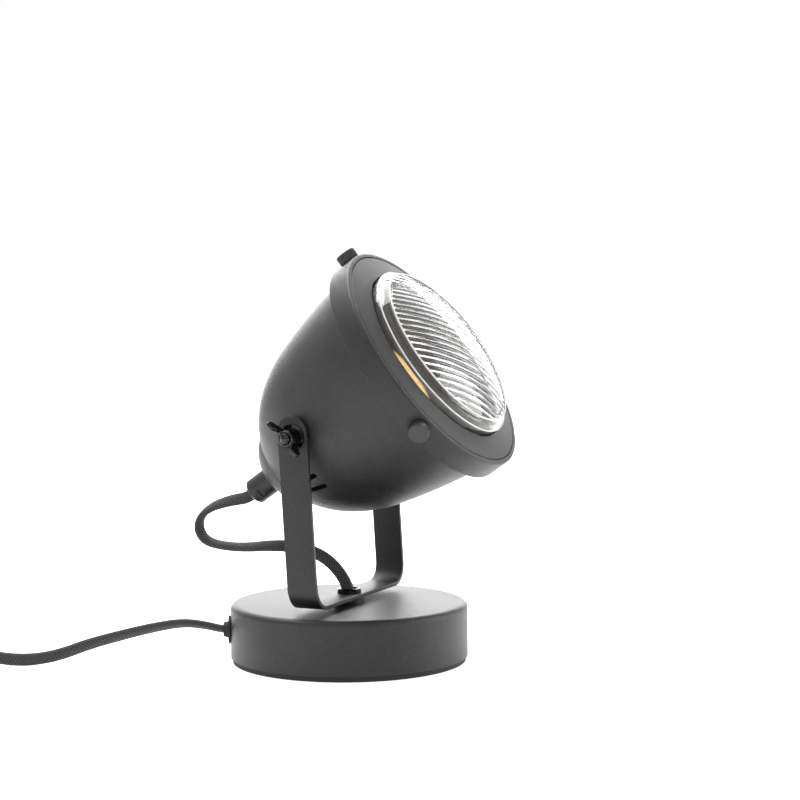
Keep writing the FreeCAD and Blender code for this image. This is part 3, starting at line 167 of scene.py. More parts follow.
def makeLamps():
    for name, place, width, watts, inGloss in studio["lamps"]:
        data = bpy.data.lights.new(name, "AREA")
        data.shape = "DISK"
        data.size = width
        data.energy = watts
        lamp = bpy.data.objects.new(name, data)
        lamp.location = place
        lamp.visible_camera = False
        lamp.visible_glossy = inGloss
        way = Vector(studio["aim"]) - Vector(place)
        lamp.rotation_euler = way.to_track_quat("-Z", "Y").to_euler()
        scene.collection.objects.link(lamp)


makeCamera()
makeWorld()
makeFloor()
makeLamps()
scene.view_settings.view_transform = "Standard"

print("finishes")


def onObject(tree, node):
    place = tree.nodes.new("ShaderNodeTexCoord")
    tree.links.new(place.outputs["Object"], node.inputs["Vector"])


def noise(tree, scale, detail=2.0, roughness=0.5):
    node = tree.nodes.new("ShaderNodeTexNoise")
    fill(node, {"Scale": scale, "Detail": detail, "Roughness": roughness})
    onObject(tree, node)
    return node.outputs["Fac"]


def facets(tree, scale):
    node = tree.nodes.new("ShaderNodeTexVoronoi")
    fill(node, {"Scale": scale})
    onObject(tree, node)
    return node.outputs["Distance"]


def remap(tree, value, low, high, fromLow=0.0):
    node = tree.nodes.new("ShaderNodeMapRange")
    fill(node, {"From Min": fromLow, "From Max": 1.0, "To Min": low, "To Max": high})
    tree.links.new(value, node.inputs["Value"])
    return node.outputs["Result"]


def tone(tree, value, dark, light, low=0.0, high=1.0):
    node = tree.nodes.new("ShaderNodeValToRGB")
    node.color_ramp.elements[0].color = (*dark, 1)
    node.color_ramp.elements[1].color = (*light, 1)
    node.color_ramp.elements[0].position = low
    node.color_ramp.elements[1].position = high
    tree.links.new(value, node.inputs["Fac"])
    return node.outputs["Color"]


def bump(tree, height, strength, distance):
    node = tree.nodes.new("ShaderNodeBump")
    fill(node, {"Strength": strength, "Distance": distance})
    tree.links.new(height, node.inputs["Height"])
    return node.outputs["Normal"]


def powderCoatFinish():
    # matte sand-textured powder coat with a slight mottle
    material, tree, base = newFinish("powderCoat")
    grain = noise(tree, scale=1500.0, detail=3.0, roughness=0.7)
    mottle = noise(tree, scale=90.0, detail=3.0)
    speck = noise(tree, scale=1900.0)
    mixed = combine(tree, "ADD", remap(tree, mottle, low=-0.15, high=0.15), speck)
    colour = tone(tree, mixed, dark=(0.003, 0.003, 0.0033), light=(0.024, 0.024, 0.025),
                  low=0.30, high=0.72)
    tree.links.new(colour, base.inputs["Base Color"])
    tree.links.new(remap(tree, mottle, low=0.37, high=0.43), base.inputs["Roughness"])
    fill(base, {"Specular IOR Level": 0.42})
    tree.links.new(bump(tree, grain, strength=1.0, distance=0.00022), base.inputs["Normal"])
    return material


def blackNickelFinish():
    material, tree, base = newFinish("blackNickel")
    wear = noise(tree, scale=700.0, detail=3.0)
    colour = tone(tree, wear, dark=(0.022, 0.022, 0.024), light=(0.055, 0.055, 0.058),
                  low=0.35, high=0.7)
    tree.links.new(colour, base.inputs["Base Color"])
    fill(base, {"Metallic": 1.0})
    tree.links.new(remap(tree, wear, low=0.07, high=0.15), base.inputs["Roughness"])
    peel = noise(tree, scale=1500.0)
    tree.links.new(bump(tree, peel, strength=0.15, distance=0.00004), base.inputs["Normal"])
    return material


def blackOxideFinish():
    material, tree, base = newFinish("blackOxide")
    cloud = noise(tree, scale=1400.0, detail=3.0)
    colour = tone(tree, cloud, dark=(0.020, 0.020, 0.021), light=(0.040, 0.040, 0.042),
                  low=0.3, high=0.8)
    tree.links.new(colour, base.inputs["Base Color"])
    fill(base, {"Roughness": 0.42})
    tree.links.new(bump(tree, cloud, strength=0.2, distance=0.00005), base.inputs["Normal"])
    return material


def zincFinish():
    material, tree, base = newFinish("zincPlate")
    cloud = noise(tree, scale=260.0, detail=4.0)
    colour = tone(tree, cloud, dark=(0.34, 0.34, 0.33), light=(0.58, 0.58, 0.56),
                  low=0.3, high=0.75)
    tree.links.new(colour, base.inputs["Base Color"])
    fill(base, {"Metallic": 1.0})
    tree.links.new(remap(tree, cloud, low=0.28, high=0.45), base.inputs["Roughness"])
    return material


def castIronFinish():
    material, tree, base = newFinish("castIron")
    cloud = noise(tree, scale=400.0, detail=5.0, roughness=0.7)
    colour = tone(tree, cloud, dark=(0.03, 0.03, 0.03), light=(0.10, 0.095, 0.09))
    tree.links.new(colour, base.inputs["Base Color"])
    fill(base, {"Roughness": 0.8})
    tree.links.new(bump(tree, cloud, strength=0.6, distance=0.0003), base.inputs["Normal"])
    return material


def rubberFinish(name, dark):
    material, tree, base = newFinish(name)
    pores = noise(tree, scale=1800.0, detail=3.0)
    light = tuple(c * 1.8 for c in dark)
    tree.links.new(tone(tree, pores, dark, light, low=0.3, high=0.8), base.inputs["Base Color"])
    fill(base, {"Roughness": 0.75})
    tree.links.new(bump(tree, pores, strength=0.3, distance=0.0001), base.inputs["Normal"])
    return material


def nylonFinish():
    material, tree, base = newFinish("satinPlastic")
    texture = noise(tree, scale=3200.0)
    colour = tone(tree, texture, dark=(0.014, 0.014, 0.015), light=(0.026, 0.026, 0.027))
    tree.links.new(colour, base.inputs["Base Color"])
    fill(base, {"Roughness": 0.42})
    tree.links.new(bump(tree, texture, strength=0.25, distance=0.00006), base.inputs["Normal"])
    return material


def ceramicFinish():
    material, tree, base = newFinish("ceramic")
    cloud = noise(tree, scale=500.0, detail=3.0)
    colour = tone(tree, cloud, dark=(0.60, 0.56, 0.49), light=(0.80, 0.77, 0.71))
    tree.links.new(colour, base.inputs["Base Color"])
    fill(base, {"Roughness": 0.6})
    return material


def pinFinish():
    material, tree, base = newFinish("brightPins")
    cloud = noise(tree, scale=900.0)
    colour = tone(tree, cloud, dark=(0.60, 0.58, 0.53), light=(0.78, 0.76, 0.72))
    tree.links.new(colour, base.inputs["Base Color"])
    fill(base, {"Metallic": 1.0, "Roughness": 0.18})
    return material


def lensFinish():
    # clear pressed glass, slightly wavy
    material, tree, base = newFinish("pressedGlass")
    wave = noise(tree, scale=120.0)
    fill(base, {"Base Color": (0.97, 0.985, 0.98, 1), "Transmission Weight": 1.0, "IOR": 1.5})
    tree.links.new(remap(tree, wave, low=0.0, high=0.04), base.inputs["Roughness"])
    tree.links.new(bump(tree, wave, strength=0.08, distance=0.0002), base.inputs["Normal"])
    return material


def paintedHighlightGlassFinish():
    # pale opaque finish for the rings that paint highlights on the lens edges, where the glass catches
    # light
    material, tree, base = newFinish("paintedHighlightGlass")
    cloud = noise(tree, scale=900.0, detail=3.0)
    # the pale colour is painted highlight, not the glass's own colour
    colour = tone(tree, cloud, dark=(0.80, 0.77, 0.70), light=(0.95, 0.94, 0.90))
    tree.links.new(colour, base.inputs["Base Color"])
    fill(base, {"Roughness": 0.22, "Specular IOR Level": 0.8})
    return material


def bulbMirrorFinish():
    # the lit bulb's warm faceted mirror, which glows a little
    material, tree, base = newFinish("reflectorBulb")
    colour = tone(tree, facets(tree, 300.0), dark=(0.95, 0.72, 0.36), light=(0.55, 0.33, 0.12))
    tree.links.new(colour, base.inputs["Base Color"])
    fill(base, {"Metallic": 0.9, "Roughness": 0.2, "Emission Color": (1.0, 0.62, 0.22, 1),
                "Emission Strength": 0.5})
    return material


def bulbFrontFinish():
    # the lit front glass with its ring of small facets
    material, tree, base = newFinish("bulbFront")
    colour = tone(tree, facets(tree, 420.0), dark=(1.0, 0.74, 0.36), light=(0.80, 0.44, 0.17))
    tree.links.new(colour, base.inputs["Emission Color"])
    fill(base, {"Base Color": (0.04, 0.028, 0.014, 1), "Emission Strength": 1.05,
                "Roughness": 0.7, "Specular IOR Level": 0.1})
    return material


cordLook = {
    "wide": 6.5, "thick": 4.0,
    "square": 0.85,          # fuller than an ellipse, as two cores side by side are
    "ringPoints": 28, "ringStep": 1.2,
    "ribSlope": 0.9, "ribPitch": 1.7,
}


def textileFinish():
    # braided textile over a flat cord: slanting ribs that cross, from the tube's own map
    material, tree, base = newFinish("textileCord")
    place = tree.nodes.new("ShaderNodeUVMap")
    place.uv_map = "along"
    split = tree.nodes.new("ShaderNodeSeparateXYZ")
    tree.links.new(place.outputs["UV"], split.inputs[0])

    def strand(slope):
        slant = combine(tree, "MULTIPLY_ADD", split.outputs["Y"], slope, split.outputs["X"])
        wave = combine(tree, "MULTIPLY", slant, 2 * math.pi / cordLook["ribPitch"])
        return combine(tree, "SINE", wave)

    top = combine(tree, "MAXIMUM", strand(cordLook["ribSlope"]), strand(-cordLook["ribSlope"]))
    height = remap(tree, top, low=0.0, high=1.0, fromLow=-0.4)
    # the grooves between the ribs are coloured near black: painted shade there, over the cord's own
    # dark grey on the rib tops
    colour = tone(tree, height, dark=(0.002, 0.002, 0.002), light=(0.060, 0.060, 0.062), low=0.35)
    tree.links.new(colour, base.inputs["Base Color"])
    fill(base, {"Roughness": 0.62, "Sheen Weight": 0.08, "Sheen Roughness": 0.5})
    tree.links.new(bump(tree, height, strength=0.9, distance=0.0006), base.inputs["Normal"])
    return material


finishes = {
    "black_powder_coat": powderCoatFinish(),
    "black_nickel": blackNickelFinish(),
    "zinc_steel": zincFinish(),
    "cast_iron": castIronFinish(),
    "pad_rubber": rubberFinish("padRubber", (0.016, 0.016, 0.017)),
    "soft_black": rubberFinish("softRubber", (0.010, 0.010, 0.011)),
    "black_nylon": nylonFinish(),
    "ceramic": ceramicFinish(),
    "bulb_glass": bulbMirrorFinish(),
    "lens_glass": lensFinish(),
    "nickel_pin": pinFinish(),
    "textile_cord": textileFinish(),
}
blackOxide = blackOxideFinish()    # the screws that aren't as bright as the nickel
nodeSlot = {part["node"]: part["material_slot"] for part in frame["record"]["subparts"]}


def dress(nodeName, material):
    mesh = nodes[nodeName].data
    mesh.materials.clear()
    mesh.materials.append(material)


for nodeName in nodes:
    dress(nodeName, finishes[nodeSlot[nodeName]])
for nodeName in ("head_cord", "base_cord"):
    dress(nodeName, finishes["soft_black"])
dress("grip_screw", blackOxide)

print("shaping tools")

headPlan = {
    "hinge": (0, 5.052, 120.6),           # where the bolts' line crosses the middle
    "beamTilt": math.radians(34.8),       # how far the lens looks up
    "axisRise": 1.1,                      # how far the lens axis runs above the hinge
}
hinge = Vector(headPlan["hinge"])
beamTilt = headPlan["beamTilt"]
beamWay = Vector((0, -math.cos(beamTilt), math.sin(beamTilt)))
beamUp = Vector((0, math.sin(beamTilt), math.cos(beamTilt)))
# a place in the head is drawn with the beam along Z, X across and Y up
headPlace = Matrix.Translation(hinge + beamUp * headPlan["axisRise"]) @ Matrix((
    (1, 0, 0, 0), (0, beamUp.y, beamWay.y, 0), (0, beamUp.z, beamWay.z, 0), (0, 0, 0, 1)))
level = Matrix.Identity(4)

arcLook = {
    "degreesPerStep": 15,
    "sideShare": 0.49,       # an arc takes up to this share of a side
}


def within(value):
    # the number kept between 0 and 1
    return min(max(value, 0.0), 1.0)


def eased(value):
    # a number that goes from 0 to 1, with a soft start and end
    return value * value * (3 - 2 * value)


def filleted(corners, closed):
    # corners are (x, y) or (x, y, round), and a round corner becomes an arc
    made = []
    total = len(corners)
    for index, corner in enumerate(corners):
        here = Vector(corner[:2])
        size = corner[2] if len(corner) > 2 else 0
        if not size or (not closed and index in (0, total - 1)):
            made.append(here)
            continue
        before = Vector(corners[index - 1][:2]) - here
        after = Vector(corners[(index + 1) % total][:2]) - here
        turn = before.angle(after)
        reach = min(size / math.tan(turn / 2), before.length * arcLook["sideShare"],
                    after.length * arcLook["sideShare"])
        size = reach * math.tan(turn / 2)
        first = here + before.normalized() * reach
        last = here + after.normalized() * reach
        centre = here + (before.normalized() + after.normalized()).normalized() * (
            size / math.sin(turn / 2))
        steps = max(2, int(math.degrees(math.pi - turn) / arcLook["degreesPerStep"]))
        begin = first - centre
        sweep = begin.angle_signed(last - centre)
        for k in range(steps + 1):
            angle = -sweep * k / steps
            made.append(centre + Vector((begin.x * math.cos(angle) - begin.y * math.sin(angle),
                                         begin.x * math.sin(angle) + begin.y * math.cos(angle))))
    return made


def newPiece(name, shape, slot, body, place=level, sharp=32, finish=None):
    # sharp is the angle, in degrees, from which an edge shows
    verts, faces = shape
    mesh = bpy.data.meshes.new(name)
    mesh.from_pydata([(place @ Vector(v)) * mm for v in verts], [], faces)
    mesh.update()
    for face in mesh.polygons:
        face.use_smooth = True
    mesh.set_sharp_from_angle(angle=math.radians(sharp))
    mesh.materials.append(finish or finishes[slot])
    piece = bpy.data.objects.new(name, mesh)
    scene.collection.objects.link(piece)
    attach(piece, body)
    return piece


def latheShape(corners, steps=96, ripple=None):
    # turns a half outline of (radius, height, round) about Z; ends on the axis or closed
    closed = corners[0][0] > tiny or corners[-1][0] > tiny
    line = filleted(corners, closed)
    verts = []
    faces = []
    rings = []
    for radius, height in line:
        if radius < tiny:
            rings.append([len(verts)])
            verts.append((0, 0, height))
            continue
        rings.append(list(range(len(verts), len(verts) + steps)))
        for k in range(steps):
            angle = 2 * math.pi * k / steps
            reach = ripple(radius, height, angle) if ripple else radius
            verts.append((reach * math.cos(angle), reach * math.sin(angle), height))
    pairs = list(zip(rings, rings[1:])) + ([(rings[-1], rings[0])] if closed else [])
    for low, high in pairs:
        for k in range(steps):
            after = (k + 1) % steps
            if len(low) == 1 and len(high) > 1:
                faces.append((low[0], high[after], high[k]))
            elif len(high) == 1 and len(low) > 1:
                faces.append((low[k], low[after], high[0]))
            elif len(low) > 1:
                faces.append((low[k], low[after], high[after], high[k]))
    return verts, faces


def plateShape(corners, thick):
    # a flat outline in X and Y, thick about Z = 0
    line = filleted(corners, True)
    count = len(line)
    verts = [(p.x, p.y, -thick / 2) for p in line] + [(p.x, p.y, thick / 2) for p in line]
    faces = [tuple(range(count))[::-1], tuple(range(count, 2 * count))]
    for k in range(count):
        after = (k + 1) % count
        faces.append((k, after, count + after, count + k))
    return verts, faces


def loftShape(rings):
    # joins rings of as many points each, and closes both ends
    count = len(rings[0])
    verts = [point for ring in rings for point in ring]
    faces = [tuple(range(count))[::-1], tuple(range(len(verts) - count, len(verts)))]
    for first in range(0, len(verts) - count, count):
        for k in range(count):
            after = (k + 1) % count
            faces.append((first + k, first + after, first + count + after, first + count + k))
    return verts, faces


def roundBox(halfLong, halfWide, power, count=72):
    # a rectangle with soft corners: power 1 is an ellipse, and less is squarer
    points = []
    for k in range(count):
        across = math.cos(2 * math.pi * k / count)
        up = math.sin(2 * math.pi * k / count)
        points.append((math.copysign(abs(across) ** power, across) * halfLong,
                       math.copysign(abs(up) ** power, up) * halfWide))
    return points


def soften(piece, width, limit):
    # rounds edges sharper than the limit in degrees, with the modifier applied
    modifier = piece.modifiers.new("soft", "BEVEL")
    modifier.width = width * mm
    modifier.segments = 3
    modifier.limit_method = "ANGLE"
    modifier.angle_limit = math.radians(limit)
    bpy.context.view_layer.update()
    graph = bpy.context.evaluated_depsgraph_get()
    made = bpy.data.meshes.new_from_object(piece.evaluated_get(graph))
    piece.modifiers.clear()
    piece.data = made
    for face in made.polygons:
        face.use_smooth = True
    made.set_sharp_from_angle(angle=math.radians(50))


print("cords")


def smoothRoute(points):
    # the points that a NURBS spline of the route gives, in millimetres
    data = bpy.data.curves.new("route", "CURVE")
    data.dimensions = "3D"
    data.resolution_u = 12
    spline = data.splines.new("NURBS")
    spline.points.add(len(points) - 1)
    for point, place in zip(spline.points, points):
        point.co = (*place, 1)
    spline.order_u = 3
    spline.use_endpoint_u = True
    holder = bpy.data.objects.new("route", data)
    line = bpy.data.meshes.new_from_object(holder)
    places = [v.co.copy() for v in line.vertices]
    bpy.data.objects.remove(holder)
    bpy.data.curves.remove(data)
    bpy.data.meshes.remove(line)
    return places


def evenly(places, step):
    # the same line with points about a step apart, and its length
    runs = [0.0]
    for a, b in zip(places, places[1:]):
        runs.append(runs[-1] + (b - a).length)
    count = max(2, int(round(runs[-1] / step)))
    made = []
    index = 0
    for k in range(count + 1):
        want = runs[-1] * k / count
        while index < len(runs) - 2 and runs[index + 1] < want:
            index += 1
        span = runs[index + 1] - runs[index]
        share = 0 if span < tiny else (want - runs[index]) / span
        made.append(places[index].lerp(places[index + 1], within(share)))
    return made, runs[-1]


def ovalTube(name, route, flatWay):
    # flatWay(share, place) gives the direction that the oval's wide side lies along
    places, length = evenly(smoothRoute(route), cordLook["ringStep"])
    verts = []
    faces = []
    maps = []
    count = cordLook["ringPoints"]
    wide = cordLook["wide"] / 2
    thick = cordLook["thick"] / 2
    outline = roundBox(wide, thick, cordLook["square"], count)
    total = len(places)
    # the girth, as of an ellipse
    girth = math.pi * (3 * (wide + thick) - math.sqrt((3 * wide + thick) * (wide + 3 * thick)))
    for index, place in enumerate(places):
        before = places[max(index - 1, 0)]
        after = places[min(index + 1, total - 1)]
        way = (after - before).normalized()
        across = flatWay(index / (total - 1), place)
        across = (across - way * across.dot(way)).normalized()
        up = way.cross(across)
        verts += [(place + across * x + up * y) * mm for x, y in outline]
    step = length / (total - 1)
    for index in range(total - 1):
        for k in range(count):
            following = (k + 1) % count
            faces.append((index * count + k, index * count + following,
                          (index + 1) * count + following, (index + 1) * count + k))
            near = girth * k / count
            far = girth * (k + 1) / count
            maps += [(index * step, near), (index * step, far),
                     ((index + 1) * step, far), ((index + 1) * step, near)]
    for ring in (0, total - 1):
        cap = [ring * count + k for k in range(count)]
        faces.append(cap if ring else cap[::-1])
        maps += [(ring * step, 0)] * count
    mesh = bpy.data.meshes.new(name)
    mesh.from_pydata(verts, [], faces)
    layer = mesh.uv_layers.new(name="along")
    for loop, place in zip(layer.data, maps):
        loop.uv = place
    for face in mesh.polygons:
        face.use_smooth = len(face.vertices) == 4
    mesh.materials.append(finishes["textile_cord"])
    piece = bpy.data.objects.new(name, mesh)
    scene.collection.objects.link(piece)
    return piece, [place * mm for place in places], length * mm


# routes in millimetres: the solids' own, with small changes to the lead where the flat
# cord leaves the base and where it lies lower on the table than a round one
loopRoute = [
    (0.0, 57.82, 85.26), (0.0, 60.902, 83.122), (0.0, 66.6, 82.2), (0.0, 73.5, 80.6),
    (0.0, 80.6, 78.3), (0.0, 86.5, 75.1), (0.0, 90.2, 70.7), (0.0, 91.1, 65.6),
    (0.0, 88.9, 60.9), (0.0, 84.6, 58.0), (0.0, 78.4, 56.8), (0.0, 70.0, 56.1),
    (0.0, 59.8, 56.4), (0.0, 49.2, 57.7), (0.0, 38.0, 58.3), (0.0, 27.0, 57.4),
    (0.0, 17.4, 54.7), (0.0, 10.2, 50.4), (0.0, 4.3, 44.2), (0.0, 0.0, 36.7), (0.0, 0.0, 30.0),
]
leadRoute = [
    (-28.3, 54.4, 16.7), (-30.7, 59.12, 16.75), (-35.2, 66.9, 19.2), (-41.0, 76.9, 20.9),
    (-48.6, 89.6, 18.9), (-57.5, 104.3, 15.2), (-66.0, 119.2, 10.9), (-73.0, 132.2, 5.6),
    (-79.0, 144.0, 3.2), (-83.9, 155.2, 3.2), (-87.2, 164.3, 4.6), (-89.9, 171.8, 7.3),
    (-92.5, 179.6, 7.5), (-97.2, 193.6, 7.5), (-106.7, 221.9, 7.5), (-111.6, 236.0, 7.5),
    (-113.6, 242.5, 6.9), (-115.2, 249.6, 4.2), (-116.0, 257.0, 2.3), (-116.3, 264.5, 2.1),
    (-116.0, 272.0, 2.1),
]
tailRoute = [
    (-53.5, 330.0, 7.6), (-42.5, 329.6, 5.2), (-31.0, 329.1, 2.4), (-19.5, 328.9, 2.2),
    (-9.5, 329.2, 4.4), (-1.0, 330.0, 6.85), (6.0, 330.0, 6.85),
]
coilPlan = {
    "centre": (-68.0, 282.0),
    "outer": 48.0,
    "pitch": 6.9,
    "low": 2.1,
    "layer": 4.3,
    "turns": 6.25,
    "pointsPerTurn": 16,
    "climbOver": 0.5,        # turns that the step up to the second layer takes
}


def coilRoute():
    # in at a steady rate, up one layer where the spiral reverses, then out
    places = []
    turns = coilPlan["turns"]
    half = coilPlan["climbOver"] / 2
    # the smooth line cuts corners, so its points stand a little further out
    inset = math.cos(math.pi / 2 / coilPlan["pointsPerTurn"])
    count = int(turns * coilPlan["pointsPerTurn"])
    for index in range(count + 1):
        turn = turns * index / count
        depth = turns / 2 - abs(turn - turns / 2)
        radius = (coilPlan["outer"] - coilPlan["pitch"] * depth) / inset
        climb = within((turn - turns / 2 + half) / coilPlan["climbOver"])
        lift = coilPlan["low"] + coilPlan["layer"] * eased(climb)
        angle = math.pi - 2 * math.pi * turn
        places.append((coilPlan["centre"][0] + radius * math.cos(angle),
                       coilPlan["centre"][1] + radius * math.sin(angle), lift))
    return places


leadLay = {
    # the cord turns onto its edge behind the base, and lies flat from the switch on
    "turnFrom": 60.0, "turnOver": 100.0, "firstTilt": 20, "moreTilt": 70,
    "settleFrom": 168.0, "settleOver": 60.0, "coilFrom": 240.0,
    "sideways": (-0.95, -0.31, 0),
}


def makeLead():
    look = leadLay
    sideways = Vector(look["sideways"])
    centre = Vector((*coilPlan["centre"], 0))

    def flatWay(share, place):
        if place.y > look["coilFrom"]:
            return Vector((place.x - centre.x, place.y - centre.y, 0))
        turned = within((place.y - look["turnFrom"]) / look["turnOver"])
        settled = within((place.y - look["settleFrom"]) / look["settleOver"])
        tilt = math.radians(look["firstTilt"] + look["moreTilt"] * turned) * (1 - settled)
        return sideways * math.cos(tilt) + Vector((0, 0, math.sin(tilt)))

    route = leadRoute + coilRoute() + tailRoute
    piece, path, length = ovalTube("leadCord", route, flatWay)
    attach(piece, "base")
    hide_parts("lead_cord", "lead_cord_2", "cord_coil", "tail_cord")
    print("lead length", length)
    return piece, path


loopLay = {
    "startTurn": 90, "twist": 70,         # degrees
    "twistOver": 1.35,                    # the twist is over after 1 / 1.35 of the loop
    "edgeWay": (0, -0.4, 1),
}


def makeLoop():
    look = loopLay

    def flatWay(share, place):
        # the oval twists along the loop
        part = min(share * look["twistOver"], 1.0)
        turn = math.radians(look["startTurn"] - look["twist"] * math.sin(math.pi * part))
        return Vector((math.cos(turn), 0, 0)) + Vector(look["edgeWay"]) * math.sin(turn)

    piece, path, length = ovalTube("loopCord", loopRoute, flatWay)
    print("loop length", length)
    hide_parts("loop_cord")
    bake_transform(piece)


leadCord, leadPath = makeLead()
makeLoop()

print("lens and bulb")

lensLook = {
    "flange": 52.0, "back": 64.8, "flangeTop": 67.2,
    "radius": 49.4, "edge": 72.9,
    "domeStart": 76.6, "domeRadius": 45.0, "ball": 106.0, "glass": 3.0,
    "ribTurn": math.radians(-26.0), "pitch": 3.596, "firstRib": 2.0,
    "ribHeight": 0.45, "ribHalfWidth": 0.62, "ribRows": 3,
    "valley": 0.28,          # where a row lies between two ribs, as a share of the pitch
    "fade": 0.5,             # the ribs sink over this width at the dome's rim
    # the raised edge round the dome, and the shoulder of the step below it
    "crest": 0.35, "crestFrom": 0.15, "crestTo": 0.6, "crestFall": 0.25,
    "shoulder": 0.6, "shoulderFall": 0.1, "hollowFall": 2.4,
    "columns": 72, "innerRows": 12, "roundBy": 180,
}
# size and place of the two pale rings painted as highlights on the lens edges
highlightRingLook = {
    "domeOut": 0.15, "domeUp": 0.2, "domeHalf": 0.5,
    "stepIn": 0.35, "stepHalf": 0.42,
}


def domeHeight(radius, ball, rim, start):
    return start + math.sqrt(ball ** 2 - radius ** 2) - math.sqrt(ball ** 2 - rim ** 2)


def makeLens():
    look = lensLook
    rim = look["domeRadius"]
    columns = look["columns"]
    turn = complex(math.cos(look["ribTurn"]), math.sin(look["ribTurn"]))

    # narrow round ribs run across the dome, aslant to the hinge axis
    half = look["ribHalfWidth"]
    count = look["ribRows"]
    valley = look["valley"] * look["pitch"]
    steps = [-0.5 * look["pitch"], -valley]
    steps += [half * k / count for k in range(-count, count + 1)]
    steps.append(valley)
    lowest = int((-rim - look["firstRib"]) / look["pitch"]) - 1
    lastRow = rim * 0.99995      # just inside the rim, so that the row has a width
    rowPlaces = [-lastRow]
    for rib in range(lowest, -lowest + 1):
        middle = look["firstRib"] + rib * look["pitch"]
        rowPlaces += [middle + step for step in steps if abs(middle + step) < rim * 0.999]
    rowPlaces.append(lastRow)

    def ribLift(up):
        nearest = round((up - look["firstRib"]) / look["pitch"]) * look["pitch"] + look["firstRib"]
        share = within(abs(up - nearest) / half)
        return look["ribHeight"] * math.cos(share * math.pi / 2) ** 2

    verts = []
    faces = []
    grid = []
    for up in rowPlaces:
        reach = math.sqrt(rim * rim - up * up)
        row = []
        for i in range(columns + 1):
            side = -math.cos(math.pi * i / columns) * reach
            radius = math.hypot(side, up)
            lift = within((rim - radius) / look["fade"])
            height = domeHeight(min(radius, rim), look["ball"], rim, look["domeStart"])
            place = complex(side, up) * turn
            row.append(len(verts))
            verts.append((place.real, place.imag, height + ribLift(up) * lift))
        grid.append(row)
    for low, high in zip(grid, grid[1:]):
        for i in range(columns):
            faces.append((low[i], low[i + 1], high[i + 1], high[i]))
    border = [row[-1] for row in grid] + [row[0] for row in reversed(grid)]
    angles = [math.atan2(verts[k][1], verts[k][0]) for k in border]
    inBall = look["ball"] - look["glass"]
    inRim = rim * inBall / look["ball"]
    inApex = domeHeight(0, look["ball"], rim, look["domeStart"]) - look["glass"]
    inStart = inApex - (inBall - math.sqrt(inBall ** 2 - inRim ** 2))
    inner = look["radius"] - look["glass"]
    crest = look["domeStart"] + look["crest"]
    outline = filleted([
        (rim, look["domeStart"]), (rim + look["crestFrom"], crest, 0.1),
        (rim + look["crestTo"], crest - look["crestFall"], 0.4),
        (look["radius"] - look["shoulder"], look["edge"] - look["shoulderFall"], 1.2),
        (look["radius"], look["flangeTop"], 0.3), (look["flange"], look["flangeTop"], 0.5),
        (look["flange"], look["back"], 0.5), (inner, look["back"], 0.4),
        (inner, look["edge"] - look["hollowFall"], 1.5), (inRim, inStart)], False)[1:]
    for k in range(look["innerRows"] - 1, 0, -1):
        radius = inRim * k / look["innerRows"]
        outline.append(Vector((radius, domeHeight(radius, inBall, inRim, inStart))))
    ring = border
    count = len(border)
    for radius, height in outline:
        made = []
        for angle in angles:
            made.append(len(verts))
            verts.append((radius * math.cos(angle), radius * math.sin(angle), height))
        for k in range(count):
            after = (k + 1) % count
            faces.append((ring[k], made[k], made[after], ring[after]))
        ring = made
    middle = len(verts)
    verts.append((0, 0, inApex))
    for k in range(count):
        faces.append((ring[k], middle, ring[(k + 1) % count]))
    piece = newPiece("lensGlass", (verts, faces), "lens_glass", "head", headPlace, sharp=40)
    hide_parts("lens")
    makeLensHighlightRings()


def makeLensHighlightRings():
    # two pale rings that paint highlights on the glass: round the ribbed dome and round the stepped
    # shoulder
    glass = lensLook
    look = highlightRingLook
    highlightPaint = paintedHighlightGlassFinish()
    highlightRings = (
        ("lensDomeHighlight", glass["domeRadius"] + look["domeOut"],
         glass["domeStart"] + look["domeUp"], look["domeHalf"]),
        ("lensStepHighlight", glass["radius"] - look["stepIn"],
         glass["edge"] - look["stepIn"], look["stepHalf"]),
    )
    # each ring is a painted highlight along an edge of the glass
    for name, radius, height, half in highlightRings:
        ring = latheShape([
            (radius + half, height - half, half), (radius + half, height + half, half),
            (radius - half, height + half, half), (radius - half, height - half, half)],
            glass["roundBy"])
        newPiece(name, ring, "lens_glass", "head", headPlace, finish=highlightPaint)


bezelLook = {
    "band": 65.6, "inside": 64.4, "back": 54.5, "corner": 67.2, "cornerRound": 2.3,
    "creaseRadius": 63.3, "groove": 0.9, "grooveDepth": 0.8, "opening": 49.75, "front": 69.2,
    "sheet": 1.2, "roundBy": 180,
}


def makeBezel():
    look = bezelLook
    crease = look["creaseRadius"]
    sheet = look["sheet"]
    ring = latheShape([
        (look["inside"], look["back"], 0.2), (look["band"], look["back"], 0.35),
        (look["band"], look["corner"], look["cornerRound"]),
        (crease, look["corner"] + 0.15, 0.25),
        (crease - look["groove"] / 2, look["corner"] - look["grooveDepth"], 0.12),
        (crease - look["groove"], look["corner"] + 0.12, 0.2),
        (look["opening"], look["front"], 0.45), (look["opening"], look["front"] - sheet, 0.2),
        (crease - look["groove"], look["corner"] - sheet, 0.3),
        (look["inside"], look["corner"] - 2 * sheet, 0.5)], look["roundBy"])
    piece = newPiece("bezelRing", ring, "black_powder_coat", "head", headPlace, sharp=40)
    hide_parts("bezel_ring")


bulbLook = {
    "radius": 31.0, "front": 38.0, "rear": -10.0, "base": 8.0, "baseLength": 12.0,
    "neck": 3.0, "neckRise": 1.0,
    "flare": ((16.5, 14.5, 8), (21.2, 24.5, 8)),
    # the front rim: out from the radius, up from the front, round
    "rim": ((-1.6, -2.6, 0.6), (0, -2.2, 0.5), (0, 0, 0.8), (-2.5, 0, 0.4), (-3, -0.9, 0.4)),
    "sunk": 0.4,             # the front glass below its rim
    "litIn": 2.4, "litFrom": 1.2,
    "pinRadius": 2.3, "pinFrom": -16.0, "pinTo": -10.2, "pinShift": 5.0,
    "glow": (1.0, 0.52, 0.20), "watts": 0.035, "lampSize": 0.008, "lampAhead": 9.0,
}


